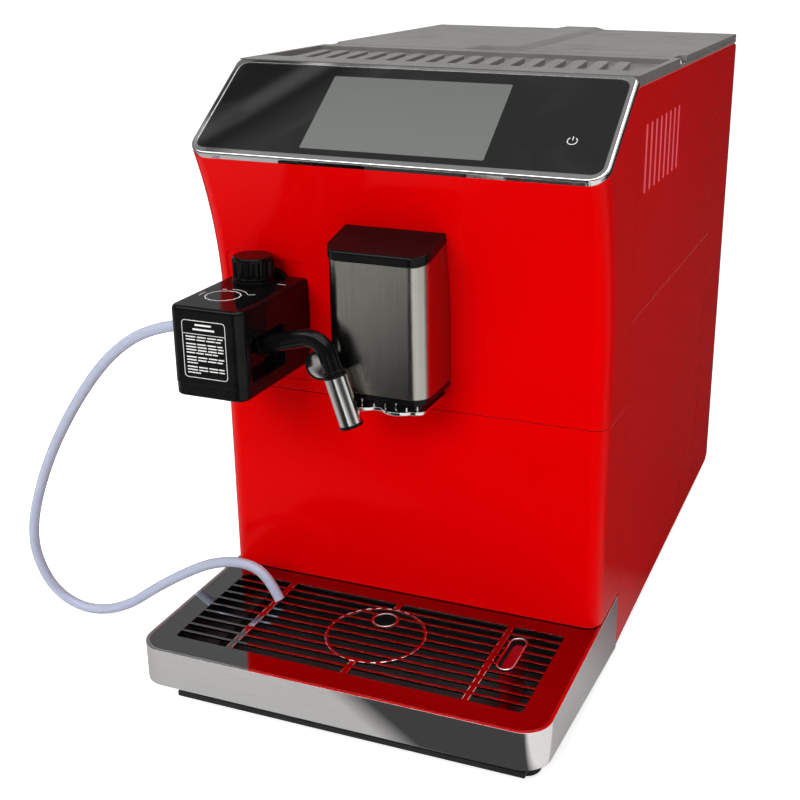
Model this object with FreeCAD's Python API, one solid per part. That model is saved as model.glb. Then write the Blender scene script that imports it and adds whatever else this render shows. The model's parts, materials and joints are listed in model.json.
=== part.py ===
import FreeCAD
import Part
import math
import os

# Countertop bean-to-cup coffee machine: a deep cabinet on four feet, a tilted touch panel, a sliding
# coffee dispenser, a milk frother that pulls off its dock, and a drip tray that slides out in front.
# Millimetres. X is right, Y is back, Z is up. Places are measured from the drip tray's front edge and
# the counter; save() then centres the machine on its depth.

Vec = FreeCAD.Vector

# ---- Driving dimensions -------------------------------------------------------------------------
# Cabinet
TRAY_WIDTH = 310.0          # drip tray, the widest piece
BODY_WIDTH = 308.0          # cabinet across its side panels
DEPTH = 595.0               # tray front to rear panel
DECK_TOP = 457.6            # counter to the top deck
WALL = 3.0                  # moulded red panels
BASE_GAP = 12.4             # counter to the side panels' lower edge
FACE_Y = 137.0              # upright front face
CORNER_RADIUS = 12.5        # front upright corners
SIDE_PANEL_START = 198.0    # where the side panels meet the front pieces
FRONT_SEAM_Z = 217.5        # seam between the two front pieces
FLARE_START = 272.0         # where the front face begins to lean forward
SEAM = 0.6                  # gap between neighbouring panels
DOOR_TOP = 281.0            # service door, right side
DOOR_BACK = 506.0
LOUVRE_COUNT = 8
LOUVRE_PITCH = 15.9
LOUVRE_START = 216.0
LOUVRE_LOW = 371.0
LOUVRE_HEIGHT = 51.0
LOUVRE_WIDTH = 5.5

# Touch panel
PANEL_TILT = 35.9           # degrees from level
PANEL_LENGTH = 99.4         # down the slope
PANEL_TOP_Y = 187.5
PANEL_WIDTH = 308.0
PANEL_DEPTH = 5.0           # chrome frame, across the slope
RIM = 4.4                   # chrome showing round the glass
DISPLAY_WIDTH = 136.0
DISPLAY_START = 12.0
DISPLAY_LENGTH = 73.0

# Top deck and lids
DECK_THICK = 7.6
DECK_SPLIT = 333.0          # seam between cup deck and rear lids
LID_THICK = 4.6
SPINE_LEFT = -28.0
SPINE_RIGHT = 24.0
SPINE_RISE = 2.3
SPINE_BEVELS = (12.0, 10.0)  # sloping flanks of the spine, left and right
WELL_X = 149.0              # half width of the ribbed well in the cup deck
WELL_Y = (218.0, 314.0)
RIB_PITCH = 16.6
RIB_COUNT = 16
RIB_WIDTH = 9.0
RIB_BACK = 283.0
RIB_SLANT = 9.0             # each rib leans this far left over its length
NOTCH_Y = (326.0, 352.0)    # finger notches at the two sides of the deck seam
NOTCH_DEPTH = 6.5

# Drip tray
TRAY_TOP = 58.9
TRAY_BACK = 193.6
TRAY_RADIUS = 20.0
BAND_THICK = 2.5
BAND_FRONT_LOW = 30.0       # lower edge of the chrome band in front
PLATE_THICK = 1.5
GRILLE_X = (-134.8, 133.0)
GRILLE_Y = (21.5, 121.0)
BAR_COUNT = 9
BAR_WIDTH = 2.2
RIB_XS = (-90.0, 1.5, 92.0)
GRILLE_RIB = 5.0
RING_CENTRE = (2.0, 75.0)
RING_RADIUS = 37.5
RING_WIDTH = 2.2
DRAIN_CENTRE = (0.0, 96.0)
DRAIN_RADIUS = 8.5
FLOAT_X = (98.5, 109.5)
FLOAT_Y = (66.0, 107.0)
FLOAT_SURROUND = 1.6
FLOAT_SUNK = 3.0            # float's top below the plate when the tray is empty
PAN_FLOOR = 13.0
PAN_STEP_Z = 32.0
PAN_INSET = 30.0            # lower part of the pan, in from the band
PAN_WALL = 2.2
PAN_FRONT = 21.0            # front of the pan's lower part

# Coffee dispenser
HEAD_HALF = 37.2
HEAD_FRONT = 87.0
HEAD_RADIUS = 12.0
HEAD_LOW = 242.5
HEAD_HIGH = 336.5           # steel skin at its front; it rises with the lid
HEAD_SKIN = 1.2
HEAD_STRIP = 4.0            # black strip under the steel skin
HEAD_BASE = 10.2            # strip and recessed core together
HEAD_CORE_INSET = 5.0
HEAD_SLOPE = 14.0           # degrees from level, lid of the coffee dispenser
HEAD_LID = 7.0
HEAD_LID_LAP = 0.8          # the lid stands out over the steel skin
NOZZLE_PLATE = 2.8
NOZZLE_PLATE_SETBACK = 3.5
NOZZLE_LOBE = 14.5
NOZZLE_DROP = 1.0           # nozzles end this far below their plate
HEAD_TRAVEL = 60.0
NOZZLE_X = 14.0
NOZZLE_Y = 101.0
STEM_Z = (300.0, 318.0)
STEM_HALF = 9.0
GUIDE_X = 18.0
GUIDE_RADIUS = 3.0

# Milk frother
FROTH_X = (-132.0, -75.2)
FROTH_FRONT = 39.0
FROTH_Z = (242.5, 307.4)
FROTH_CAP = 9.2
FROTH_RADIUS = 8.0
FROTH_WALL = 2.5
FROTH_THICK_WALL = 12.8     # right wall, which carries the spout
FROTH_TOP_ROUND = 3.0
KNOB_X = -107.0
KNOB_Y = 113.0
KNOB_RADIUS = 15.0
KNOB_HEIGHT = 19.6
KNOB_FLUTES = 14
KNOB_FLUTE_RADIUS = 2.8
DOCK_X = -104.0
DOCK_Z = 298.0
DOCK_RADIUS = 16.0
RECESS_X = (-142.0, -77.5)  # shallow field pressed into the front face round the dock
RECESS_Z = (226.0, 319.0)
RECESS_DEPTH = 0.5
RECESS_SHOULDER = (-128.0, -101.0, 326.5)
DOCK_PROUD = 7.0
SPOUT_Y = 74.0
SPOUT_ROOT = (-84.0, 273.0)
SPOUT_ELBOW = (-33.5, 287.0)
SPOUT_END = (-12.9, 224.6)
SPOUT_RADIUS = 6.6
SPOUT_BEND = 16.0
TIP_RADIUS = 8.2
TIP_LENGTH = 35.0
RUNNING_FIT = 0.05
MOVING_GAP = 0.4

# Milk hose
HOSE_RADIUS = 4.0
HOSE_EXIT_Y = 60.0
HOSE_EXIT_Z = 286.5
COLLAR_LENGTH = 2.5
HOSE_POINTS = [
    (FROTH_X[0] - COLLAR_LENGTH, HOSE_EXIT_Y, HOSE_EXIT_Z),
    (-160.5, 61, 282), (-203, 68, 256), (-245, 76, 210), (-282, 82, 156), (-308, 88, 104),
    (-319, 93, 68), (-318, 98, 40), (-309, 102.5, 17.5), (-290, 106, 4.7), (-266, 108, 4.7),
    (-238, 107, 17), (-210, 104.5, 39), (-180, 100, 60), (-148, 96.5, 79), (-118, 95, 85.5),
    (-97, 93, 79), (-86.2, 90.2, 61.4),
]

# Inside
FRAME_SHEET = 2.0
DIVIDER_X = -8.0
SHELF_Z = 284.0
TANK_WALL = 2.5
BREW_X = 75.0
BREW_Y = 385.0
CHAMBER_RADIUS = 22.0
CHAMBER_Z = (150.0, 205.0)
SCREW_X = 118.0
SCREW_RADIUS = 5.0
GRINDER_X = 75.0
GRINDER_Y = 470.0
GRINDER_RADIUS = 42.0
GRINDER_HEIGHT = 58.0
BURR_RADIUS = 27.0
SHAFT_RADIUS = 4.0
FOOT_HEIGHT = 8.0
FOOT_RADIUS = 11.0
BASE_PLATE = 4.0
BASE_FRONT_HALF = 136.0     # tongue of the base under the drip tray
BASE_FRONT_Y = 20.7
FOOT_X = 130.0
FOOT_FRONT_Y = 43.0
FOOT_BACK_INSET = 35.0
HINGE_RADIUS = 1.5
INLET_X = (-110.0, -83.0)
INLET_Z = (40.0, 60.0)
SWITCH_X = (-70.0, -51.0)
SWITCH_Z = (38.0, 62.0)
SCREW_HEAD = 4.0

# ---- Worked-out places --------------------------------------------------------------------------
BODY_HALF = BODY_WIDTH / 2
SIDE_INNER = BODY_HALF - WALL
REAR_Y = DEPTH - WALL
SIDE_TOP = DECK_TOP - DECK_THICK
FLOOR_Z = FOOT_HEIGHT + BASE_PLATE
TILT = math.radians(PANEL_TILT)
PANEL_LOW_Y = PANEL_TOP_Y - PANEL_LENGTH * math.cos(TILT)
PANEL_LOW_Z = DECK_TOP + 0.4 - PANEL_LENGTH * math.sin(TILT)
FLARE_TOP_Y = PANEL_LOW_Y + PANEL_DEPTH * math.sin(TILT)
FLARE_TOP_Z = PANEL_LOW_Z - PANEL_DEPTH * math.cos(TILT)
FLARE_RISE = FLARE_TOP_Z - FLARE_START
FLARE_OUT = FACE_Y - FLARE_TOP_Y
FLARE_RADIUS = (FLARE_RISE ** 2 + FLARE_OUT ** 2) / (2 * FLARE_OUT)
FLARE_ANGLE = math.asin(FLARE_RISE / FLARE_RADIUS)
LID_LOW = DECK_TOP - LID_THICK
HINGE_Y = DEPTH - 5.0
HINGE_Z = LID_LOW + LID_THICK / 2
TANK_FRONT = DECK_SPLIT + 14
TANK_BACK = DEPTH - 14
PLATE_LOW = TRAY_TOP - PLATE_THICK
BURR_FACE_Z = SHELF_Z + FRAME_SHEET + GRINDER_HEIGHT - 21
DOOR_AXIS_X = BODY_HALF - 2.5
DOOR_AXIS_Y = DOOR_BACK - 4.0


# ---- Shape helpers ------------------------------------------------------------------------------
def block(x, y, z):
    """Box between the low and high values of each pair."""
    return Part.makeBox(x[1] - x[0], y[1] - y[0], z[1] - z[0], Vec(x[0], y[0], z[0]))


def rod(radius, start, end):
    """Round bar from one point to another."""
    axis = Vec(*end) - Vec(*start)
    return Part.makeCylinder(radius, axis.Length, Vec(*start), axis)


def upright(radius, x, y, z):
    """Vertical round bar between two heights."""
    return rod(radius, (x, y, z[0]), (x, y, z[1]))


def fuse(shapes):
    """One solid from pieces that touch."""
    whole = shapes[0]
    for piece in shapes[1:]:
        whole = whole.fuse(piece)
    return whole.removeSplitter()


def rounded_wire(corners, place):
    """Closed outline through (u, v, radius) corners; place turns (u, v) into a point in space."""
    flat = [Vec(u, v, 0) for u, v, _ in corners]
    stops = []
    for i, (_, _, radius) in enumerate(corners):
        here = flat[i]
        back = (flat[i - 1] - here).normalize()
        ahead = (flat[(i + 1) % len(flat)] - here).normalize()
        if radius <= 0:
            stops.append((here, None, here))
            continue
        half = back.getAngle(ahead) / 2
        reach = radius / math.tan(half)
        middle = (back + ahead).normalize() * (radius / math.sin(half) - radius)
        stops.append((here + back * reach, here + middle, here + ahead * reach))
    edges = []
    for i, (start, middle, end) in enumerate(stops):
        if middle is not None:
            arc = Part.Arc(place(start.x, start.y), place(middle.x, middle.y), place(end.x, end.y))
            edges.append(arc.toShape())
        onward = stops[(i + 1) % len(stops)][0]
        if end.distanceToPoint(onward) > 1e-6:
            edges.append(Part.makeLine(place(end.x, end.y), place(onward.x, onward.y)))
    return Part.Wire(edges)


def prism_xy(corners, z):
    """Outline in plan, raised between two heights."""
    wire = rounded_wire(corners, lambda u, v: Vec(u, v, z[0]))
    return Part.Face(wire).extrude(Vec(0, 0, z[1] - z[0]))


def prism_yz(corners, x):
    """Outline seen from the side, drawn out between two X places."""
    wire = rounded_wire(corners, lambda u, v: Vec(x[0], u, v))
    return Part.Face(wire).extrude(Vec(x[1] - x[0], 0, 0))


def prism_xz(corners, y):
    """Outline seen from the front, drawn out between two Y places."""
    wire = rounded_wire(corners, lambda u, v: Vec(u, y[0], v))
    return Part.Face(wire).extrude(Vec(0, y[1] - y[0], 0))


def rectangle(x, y, radii):
    """Corners of a rectangle with radii (front left, front right, back right, back left)."""
    places = ((x[0], y[0]), (x[1], y[0]), (x[1], y[1]), (x[0], y[1]))
    return [(u, v, r) for (u, v), r in zip(places, radii)]


def slab(x, y, z, radius):
    """Box with all four upright edges rounded."""
    return prism_xy(rectangle(x, y, [radius] * 4), z)


def bow_fronted(x, y, z, radius):
    """Box with its two front upright edges rounded."""
    return prism_xy(rectangle(x, y, (radius, radius, 0, 0)), z)


def stadium(x, y, z):
    """Upright slot shape, rounded fully at its front and back ends."""
    return slab(x, y, z, (x[1] - x[0]) / 2 - 0.01)


def grow(pair, amount):
    """A (low, high) pair made longer at both ends."""
    return (pair[0] - amount, pair[1] + amount)


def on_panel(shape):
    """Puts a shape drawn level (Y down the slope, Z out of it) onto the tilted touch panel."""
    shape.rotate(Vec(0, 0, 0), Vec(1, 0, 0), PANEL_TILT)
    shape.translate(Vec(0, PANEL_LOW_Y, PANEL_LOW_Z))
    return shape


def edges_where(shape, test):
    """Edges whose middle point passes a test."""
    chosen = []
    for edge in shape.Edges:
        middle = edge.valueAt((edge.FirstParameter + edge.LastParameter) / 2)
        if test(middle):
            chosen.append(edge)
    return chosen


def front_block(offset, width_cut, low, back):
    """Solid behind the front face, moved back by offset and narrowed by width_cut each side."""
    radius = FLARE_RADIUS + offset
    face = FACE_Y + offset
    knee = FLARE_START + radius * math.tan(FLARE_ANGLE / 2)
    top_y = FACE_Y - FLARE_RADIUS + radius * math.cos(FLARE_ANGLE)
    top_z = FLARE_START + radius * math.sin(FLARE_ANGLE)
    ceiling = SIDE_TOP - offset / math.cos(TILT)
    brow_y = top_y + (ceiling - top_z) / math.tan(TILT)
    outline = [(face, low, 0), (face, knee, radius - 0.01), (top_y, top_z, 0), (brow_y, ceiling, 0),
               (back, ceiling, 0), (back, low, 0)]
    half = BODY_HALF - width_cut
    solid = prism_yz(outline, (-half, half))
    corner = max(CORNER_RADIUS - width_cut, 2.0)

    def front_corner(p):
        return abs(abs(p.x) - half) < 0.01 and p.y < face + 0.1 and low + 0.1 < p.z < top_z - 0.1

    return solid.makeFillet(corner, edges_where(solid, front_corner))


def in_front_of_face(shape, gap):
    """Trims a shape so that it stops a gap short of the front face, flare included."""
    return shape.cut(front_block(-gap, 0, BASE_GAP, SIDE_PANEL_START + 60))


# ---- Cabinet ------------------------------------------------------------------------------------
def base_chassis():
    tub = block((-SIDE_INNER + 0.2, SIDE_INNER - 0.2), (SIDE_PANEL_START, REAR_Y - 0.2), (FOOT_HEIGHT, 22))
    hollow = block((-SIDE_INNER + WALL, SIDE_INNER - WALL), (SIDE_PANEL_START + WALL, REAR_Y - WALL),
                   (FLOOR_Z, 30))
    tongue = block((-BASE_FRONT_HALF, BASE_FRONT_HALF), (BASE_FRONT_Y, SIDE_PANEL_START + 1), (FOOT_HEIGHT, FLOOR_Z))
    vents = [block((x, x + 8), (240, 300), (0, 30)) for x in range(-120, -20, 16)]
    door_room = block((SIDE_INNER - 8, SIDE_INNER + 1), (DOOR_AXIS_Y - 5, DOOR_AXIS_Y + 8), (FLOOR_Z, 23))
    return fuse([tub.cut(hollow), tongue]).cut(Part.makeCompound(vents)).cut(door_room)


def feet():
    places = [(x, y) for x in (-FOOT_X, FOOT_X) for y in (FOOT_FRONT_Y, DEPTH - FOOT_BACK_INSET)]
    pads = []
    for x, y in places:
        pad = upright(FOOT_RADIUS, x, y, (0, FOOT_HEIGHT))
        pad = pad.makeFillet(1.5, edges_where(pad, lambda p: p.z < 0.1))
        pads.append(pad.cut(upright(4, x, y, (-1, 2))))
    return Part.makeCompound(pads)


def inner_frame():
    y = (SIDE_PANEL_START + 5, REAR_Y - 4)
    divider = block((DIVIDER_X, DIVIDER_X + FRAME_SHEET), y, (FLOOR_Z, SIDE_TOP - 0.2))
    shelf = block((-SIDE_INNER + 0.5, SIDE_INNER - 0.5), (y[0], y[1]), (SHELF_Z, SHELF_Z + FRAME_SHEET))
    holes = [upright(8, -90, 470, (SHELF_Z - 5, SHELF_Z + 9)),
             upright(GRINDER_RADIUS - 10, GRINDER_X, GRINDER_Y, (SHELF_Z - 5, SHELF_Z + 9)),
             block((BREW_X - 20, BREW_X + 20), (330, 400), (SHELF_Z - 5, SHELF_Z + 9))]
    ledge = block((DIVIDER_X - 20, DIVIDER_X + 20), y, (SIDE_TOP - 2.2, SIDE_TOP - 0.2))
    front_foot = block((DIVIDER_X, DIVIDER_X + 20), (y[0], y[0] + FRAME_SHEET), (FLOOR_Z, SHELF_Z))
    return fuse([divider, shelf, ledge, front_foot]).cut(Part.makeCompound(holes))


def upper_front_shell():
    outer = front_block(0, 0, FRONT_SEAM_Z + SEAM / 2, SIDE_PANEL_START - SEAM)
    inner = front_block(WALL, WALL, FRONT_SEAM_Z - 5, SIDE_PANEL_START + 9)
    shell = outer.cut(inner)
    window = on_panel(block((-DISPLAY_WIDTH / 2 - 5, DISPLAY_WIDTH / 2 + 5),
                            (DISPLAY_START - 5, DISPLAY_START + DISPLAY_LENGTH + 5), (-20, 5)))
    slot = block((-STEM_HALF - 1, STEM_HALF + 1), (FACE_Y - 30, FACE_Y + 10),
                 (STEM_Z[0] - HEAD_TRAVEL - 1, STEM_Z[1] + 1))
    dock_hole = rod(DOCK_RADIUS - 2, (DOCK_X, FACE_Y - 20, DOCK_Z), (DOCK_X, FACE_Y + 10, DOCK_Z))
    left, right, high = RECESS_SHOULDER
    field = prism_xz([(RECESS_X[0], RECESS_Z[0], 4), (RECESS_X[0], high - 3, 9), (left, high, 9),
                      (right, RECESS_Z[1], 12), (RECESS_X[1], RECESS_Z[1], 4), (RECESS_X[1], RECESS_Z[0], 4)],
                     (FACE_Y - 30, FACE_Y + 5))
    field = field.cut(front_block(RECESS_DEPTH, 0, BASE_GAP, SIDE_PANEL_START))
    return shell.cut(window).cut(slot).cut(dock_hole).cut(field)


def lower_front_panel():
    z = (TRAY_TOP + 0.7, FRONT_SEAM_Z - SEAM / 2)
    y = (FACE_Y, SIDE_PANEL_START - SEAM)
    outer = bow_fronted((-BODY_HALF, BODY_HALF), y, z, CORNER_RADIUS)
    inner = bow_fronted((-SIDE_INNER, SIDE_INNER), (y[0] + WALL, y[1] + 5), grow(z, 5), CORNER_RADIUS - WALL)
    lip = bow_fronted((-SIDE_INNER - 0.5, SIDE_INNER + 0.5), (y[0] + WALL - 0.5, y[0] + WALL + 9),
                      (z[0], z[0] + 2.5), CORNER_RADIUS - WALL)
    return fuse([outer.cut(inner), lip])


def louvres(x):
    slots = []
    for i in range(LOUVRE_COUNT):
        y = LOUVRE_START + i * LOUVRE_PITCH
        corners = [(y, LOUVRE_LOW, 2.7), (y + LOUVRE_WIDTH, LOUVRE_LOW, 2.7),
                   (y + LOUVRE_WIDTH, LOUVRE_LOW + LOUVRE_HEIGHT, 2.7), (y, LOUVRE_LOW + LOUVRE_HEIGHT, 2.7)]
        slots.append(prism_yz(corners, x))
    return Part.makeCompound(slots)


def side_panel(side):
    """Red side wall; side is 1 for right and -1 for left."""
    x = sorted((side * SIDE_INNER, side * BODY_HALF))
    top_round = 7.0
    wall = prism_yz([(SIDE_PANEL_START, BASE_GAP, 0), (REAR_Y - SEAM, BASE_GAP, 4),
                     (REAR_Y - SEAM, SIDE_TOP, top_round), (SIDE_PANEL_START, SIDE_TOP, 0)], x)
    return wall.cut(louvres(grow(x, 1)))


def right_side_panel():
    opening = block((SIDE_INNER - 5, BODY_HALF + 5), (SIDE_PANEL_START - 5, DOOR_BACK + 1.0),
                    (BASE_GAP - 5, DOOR_TOP))
    return side_panel(1).cut(opening)


def door_knuckle_heights():
    return ((32.0, 48.0), (DOOR_TOP - 48.0, DOOR_TOP - 32.0))


def service_door():
    y = (SIDE_PANEL_START, DOOR_BACK - 0.2)
    z = (BASE_GAP, DOOR_TOP - SEAM)
    wall = block((SIDE_INNER, BODY_HALF), y, z)
    rib_x = (SIDE_INNER - 4, SIDE_INNER + 0.5)
    ribs = [block(rib_x, (y[0] + 8, y[1] - 22), (z[0] + 12, z[0] + 14.5)),
            block(rib_x, (y[0] + 8, y[1] - 22), (z[1] - 14.5, z[1] - 12)),
            block(rib_x, (y[0] + 8, y[0] + 10.5), (z[0] + 12, z[1] - 12))]
    knuckles = [upright(2.4, DOOR_AXIS_X, DOOR_AXIS_Y, height) for height in door_knuckle_heights()]
    bores = [upright(1.2 + RUNNING_FIT, DOOR_AXIS_X, DOOR_AXIS_Y, grow(height, 3))
             for height in door_knuckle_heights()]
    gaps = [block((SIDE_INNER - 5, BODY_HALF - 0.7), (DOOR_AXIS_Y - 3.2, DOOR_AXIS_Y + 9),
                  (height[0] - 3.4, height[1] + 3.4)).cut(block((0, 200), (0, 900), height))
            for height in door_knuckle_heights()]
    return fuse([wall] + ribs + knuckles).cut(Part.makeCompound(bores)).cut(Part.makeCompound(gaps))


def door_hinge_pins():
    pins = []
    for low, high in door_knuckle_heights():
        pin = upright(1.2, DOOR_AXIS_X, DOOR_AXIS_Y, (low - 2.8, high + 2.8))
        ears = [fuse([block((SIDE_INNER - 12, DOOR_AXIS_X), (DOOR_AXIS_Y - 1.5, DOOR_AXIS_Y + 1.2), z),
                      upright(1.5, DOOR_AXIS_X, DOOR_AXIS_Y, z)])
                for z in ((low - 2.8, low - 0.4), (high + 0.4, high + 2.8))]
        strap = block((SIDE_INNER - 12, SIDE_INNER - 9.5), (DOOR_AXIS_Y - 1.5, DOOR_AXIS_Y + 14),
                      (low - 2.8, high + 2.8))
        foot = block((SIDE_INNER - 12, SIDE_INNER), (DOOR_AXIS_Y + 12, DOOR_AXIS_Y + 14), (low - 2.8, high + 2.8))
        pins.append(fuse([pin, ears[0], ears[1], strap, foot]))
    return Part.makeCompound(pins)


def rear_panel():
    z = (BASE_GAP, SIDE_TOP - 0.2)
    wall = prism_xz([(-BODY_HALF, z[0], 4), (BODY_HALF, z[0], 4), (BODY_HALF, z[1], 4), (-BODY_HALF, z[1], 4)],
                    (REAR_Y, DEPTH))
    slots = [block((x, x + 5), (REAR_Y - 5, DEPTH + 5), (z[1] - 110, z[1] - 40)) for x in range(-96, 100, 12)]
    inlet = block(INLET_X, (REAR_Y - 5, DEPTH + 5), INLET_Z)
    switch = block(SWITCH_X, (REAR_Y - 5, DEPTH + 5), SWITCH_Z)
    sinks = [rod(SCREW_HEAD + 0.2, (x, DEPTH - 2.2, z), (x, DEPTH + 1, z)) for x, z in screw_places()]
    return wall.cut(Part.makeCompound(slots)).cut(inlet).cut(switch).cut(Part.makeCompound(sinks))


def power_inlet():
    y = (REAR_Y - 22, DEPTH - 0.2)
    shell = block(grow(INLET_X, -0.1), y, grow(INLET_Z, -0.1))
    socket = block(grow(INLET_X, -2.5), (y[1] - 17, y[1] + 1), grow(INLET_Z, -2.5))
    middle = (INLET_Z[0] + INLET_Z[1]) / 2
    centre = (INLET_X[0] + INLET_X[1]) / 2
    blades = [block((centre + dx - 1, centre + dx + 1), (y[1] - 18, y[1] - 4), (middle - 2.5 + dz, middle + 2.5 + dz))
              for dx, dz in ((-7, -1.5), (0, 2.0), (7, -1.5))]
    flange = block(grow(INLET_X, 2), (REAR_Y - 1.6, REAR_Y), grow(INLET_Z, 2))
    return fuse([fuse([shell, flange]).cut(socket)] + blades)


def rocker_switch_housing():
    y = (REAR_Y - 15, DEPTH - 0.2)
    body = block(grow(SWITCH_X, -0.1), y, grow(SWITCH_Z, -0.1))
    well = block(grow(SWITCH_X, -2.4), (y[1] - 10, y[1] + 1), grow(SWITCH_Z, -2.4))
    middle = ((SWITCH_X[0] + SWITCH_X[1]) / 2, (SWITCH_Z[0] + SWITCH_Z[1]) / 2)
    pivot = rod(1.2, (SWITCH_X[0] + 1, y[1] - 4, middle[1]), (SWITCH_X[1] - 1, y[1] - 4, middle[1]))
    flange = block(grow(SWITCH_X, 2), (REAR_Y - 1.6, REAR_Y), grow(SWITCH_Z, 2))
    return fuse([fuse([body, flange]).cut(well), pivot])


def rocker_key():
    y = DEPTH - 4.2
    middle = (SWITCH_Z[0] + SWITCH_Z[1]) / 2
    low, high = middle - 8.6, middle + 8.6
    key = prism_yz([(y - 3, middle - 3, 1), (y + 1.2, low, 0.6), (y + 3.4, low, 0.6), (y + 2.2, middle, 0),
                    (y + 3.4, high, 0.6), (y + 1.2, high, 0.6), (y - 3, middle + 3, 1)],
                   grow(SWITCH_X, -3.0))
    return key.cut(rod(1.2 + RUNNING_FIT, (SWITCH_X[0], y, middle), (SWITCH_X[1], y, middle)))


# ---- Touch panel --------------------------------------------------------------------------------
def glass_opening(inset):
    half = PANEL_WIDTH / 2 - RIM - inset
    return (-half, half), (RIM + 1.3 + inset, PANEL_LENGTH - RIM - inset)


def panel_frame():
    half = PANEL_WIDTH / 2
    outer = prism_xy(rectangle((-half, half), (0, PANEL_LENGTH), (14, 14, 6, 6)), (-PANEL_DEPTH, 0))
    outer = outer.makeFillet(1.6, edges_where(outer, lambda p: p.z > -0.01))
    x, y = glass_opening(0)
    hole = slab(x, y, (-2.6, 1), 8)
    x_ledge, y_ledge = glass_opening(3.5)
    through = slab(x_ledge, y_ledge, (-PANEL_DEPTH - 1, 1), 5)
    return on_panel(outer.cut(hole).cut(through))


def panel_glass():
    x, y = glass_opening(0.15)
    return on_panel(slab(x, y, (-2.5, -0.5), 7.85))


def display_module():
    x = (-DISPLAY_WIDTH / 2 - 3, DISPLAY_WIDTH / 2 + 3)
    y = (DISPLAY_START - 2, DISPLAY_START + DISPLAY_LENGTH + 2)
    return on_panel(slab(x, y, (-9.0, -2.55), 2))


def control_board():
    board = block((-62, 62), (DISPLAY_START + 2, DISPLAY_START + 64), (-10.7, -9.05))
    chips = [block((-40, -22), (DISPLAY_START + 20, DISPLAY_START + 38), (-13, -10.6)),
             block((10, 38), (DISPLAY_START + 14, DISPLAY_START + 30), (-13, -10.6)),
             block((44, 58), (DISPLAY_START + 40, DISPLAY_START + 60), (-15, -10.6))]
    return on_panel(fuse([board] + chips))


# ---- Top deck and lids --------------------------------------------------------------------------
def finger_notch(side):
    x = sorted((side * (BODY_HALF - NOTCH_DEPTH), side * (BODY_HALF + 5)))
    return slab(x, NOTCH_Y, (SIDE_TOP + 1.6, DECK_TOP + 5), 1.5)


def cup_deck():
    frame_back = PANEL_TOP_Y + PANEL_DEPTH * math.sin(TILT) + 0.4
    profile = [(frame_back, SIDE_TOP, 0), (frame_back, DECK_TOP - PANEL_DEPTH * math.cos(TILT), 0),
               (PANEL_TOP_Y + 0.6, DECK_TOP, 0), (DECK_SPLIT - SEAM, DECK_TOP, 0.8), (DECK_SPLIT - SEAM, SIDE_TOP, 0)]
    plate = prism_yz(profile, (-BODY_HALF + 0.5, BODY_HALF - 0.5))
    well = slab((-WELL_X, WELL_X), WELL_Y, (SIDE_TOP + 3.4, DECK_TOP + 1), 5)
    front = WELL_Y[0] - 1
    first = (RIB_SLANT - RIB_WIDTH - (RIB_COUNT - 1) * RIB_PITCH) / 2
    ribs = []
    for i in range(RIB_COUNT):
        left = first + i * RIB_PITCH
        right = left + RIB_WIDTH
        slant = [(left, front, 0), (right, front, 0), (right - RIB_SLANT, RIB_BACK, 3),
                 (left - RIB_SLANT, RIB_BACK, 3)]
        ribs.append(prism_xy(slant, (SIDE_TOP + 3.0, DECK_TOP - 0.3)))
    notches = fuse([finger_notch(1), finger_notch(-1)])
    return fuse([plate.cut(well)] + ribs).cut(notches)


def top_rear_frame():
    y = (DECK_SPLIT, DEPTH)
    plate = block((-BODY_HALF + 0.5, BODY_HALF - 0.5), y, (SIDE_TOP, LID_LOW - 0.5))
    wells = [slab((-SIDE_INNER + 4, SPINE_LEFT - 4), (TANK_FRONT, TANK_BACK), (SIDE_TOP - 1, DECK_TOP), 8),
             slab((SPINE_RIGHT + 6, SIDE_INNER - 4), (TANK_FRONT, TANK_BACK), (SIDE_TOP - 1, DECK_TOP), 8)]
    crest = DECK_TOP + SPINE_RISE
    length = prism_yz([(DECK_SPLIT, SIDE_TOP, 0), (DECK_SPLIT, DECK_TOP - 1, 0), (DECK_SPLIT + 11, crest, 3),
                       (DEPTH, crest, 2), (DEPTH, SIDE_TOP, 0)], (SPINE_LEFT, SPINE_RIGHT))
    section = prism_xz([(SPINE_LEFT, SIDE_TOP, 0), (SPINE_LEFT, DECK_TOP, 0), (SPINE_LEFT + SPINE_BEVELS[0], crest, 0),
                        (SPINE_RIGHT - SPINE_BEVELS[1], crest, 0), (SPINE_RIGHT, DECK_TOP - 0.4, 0),
                        (SPINE_RIGHT, SIDE_TOP, 0)], (DECK_SPLIT, DEPTH))
    spine = length.common(section)
    ears = [block(x, (HINGE_Y - 3.2, DEPTH), (SIDE_TOP, DECK_TOP))
            for x in ((-BODY_HALF + 0.5, -BODY_HALF + 7), (BODY_HALF - 7, BODY_HALF - 0.5))]
    ledge = block((-BODY_HALF + 0.5, BODY_HALF - 0.5), (HINGE_Y + 3.0, DEPTH), (SIDE_TOP, DECK_TOP))
    bore = rod(HINGE_RADIUS, (-BODY_HALF + 3, HINGE_Y, HINGE_Z), (BODY_HALF - 3, HINGE_Y, HINGE_Z))
    frame = fuse([plate.cut(Part.makeCompound(wells)), spine, ears[0], ears[1], ledge])
    return frame.cut(bore).cut(fuse([finger_notch(1), finger_notch(-1)]))


def lid_span(side):
    if side > 0:
        return (SPINE_RIGHT + 0.5, BODY_HALF - 0.5)
    return (-BODY_HALF + 0.5, SPINE_LEFT - 0.5)


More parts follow.
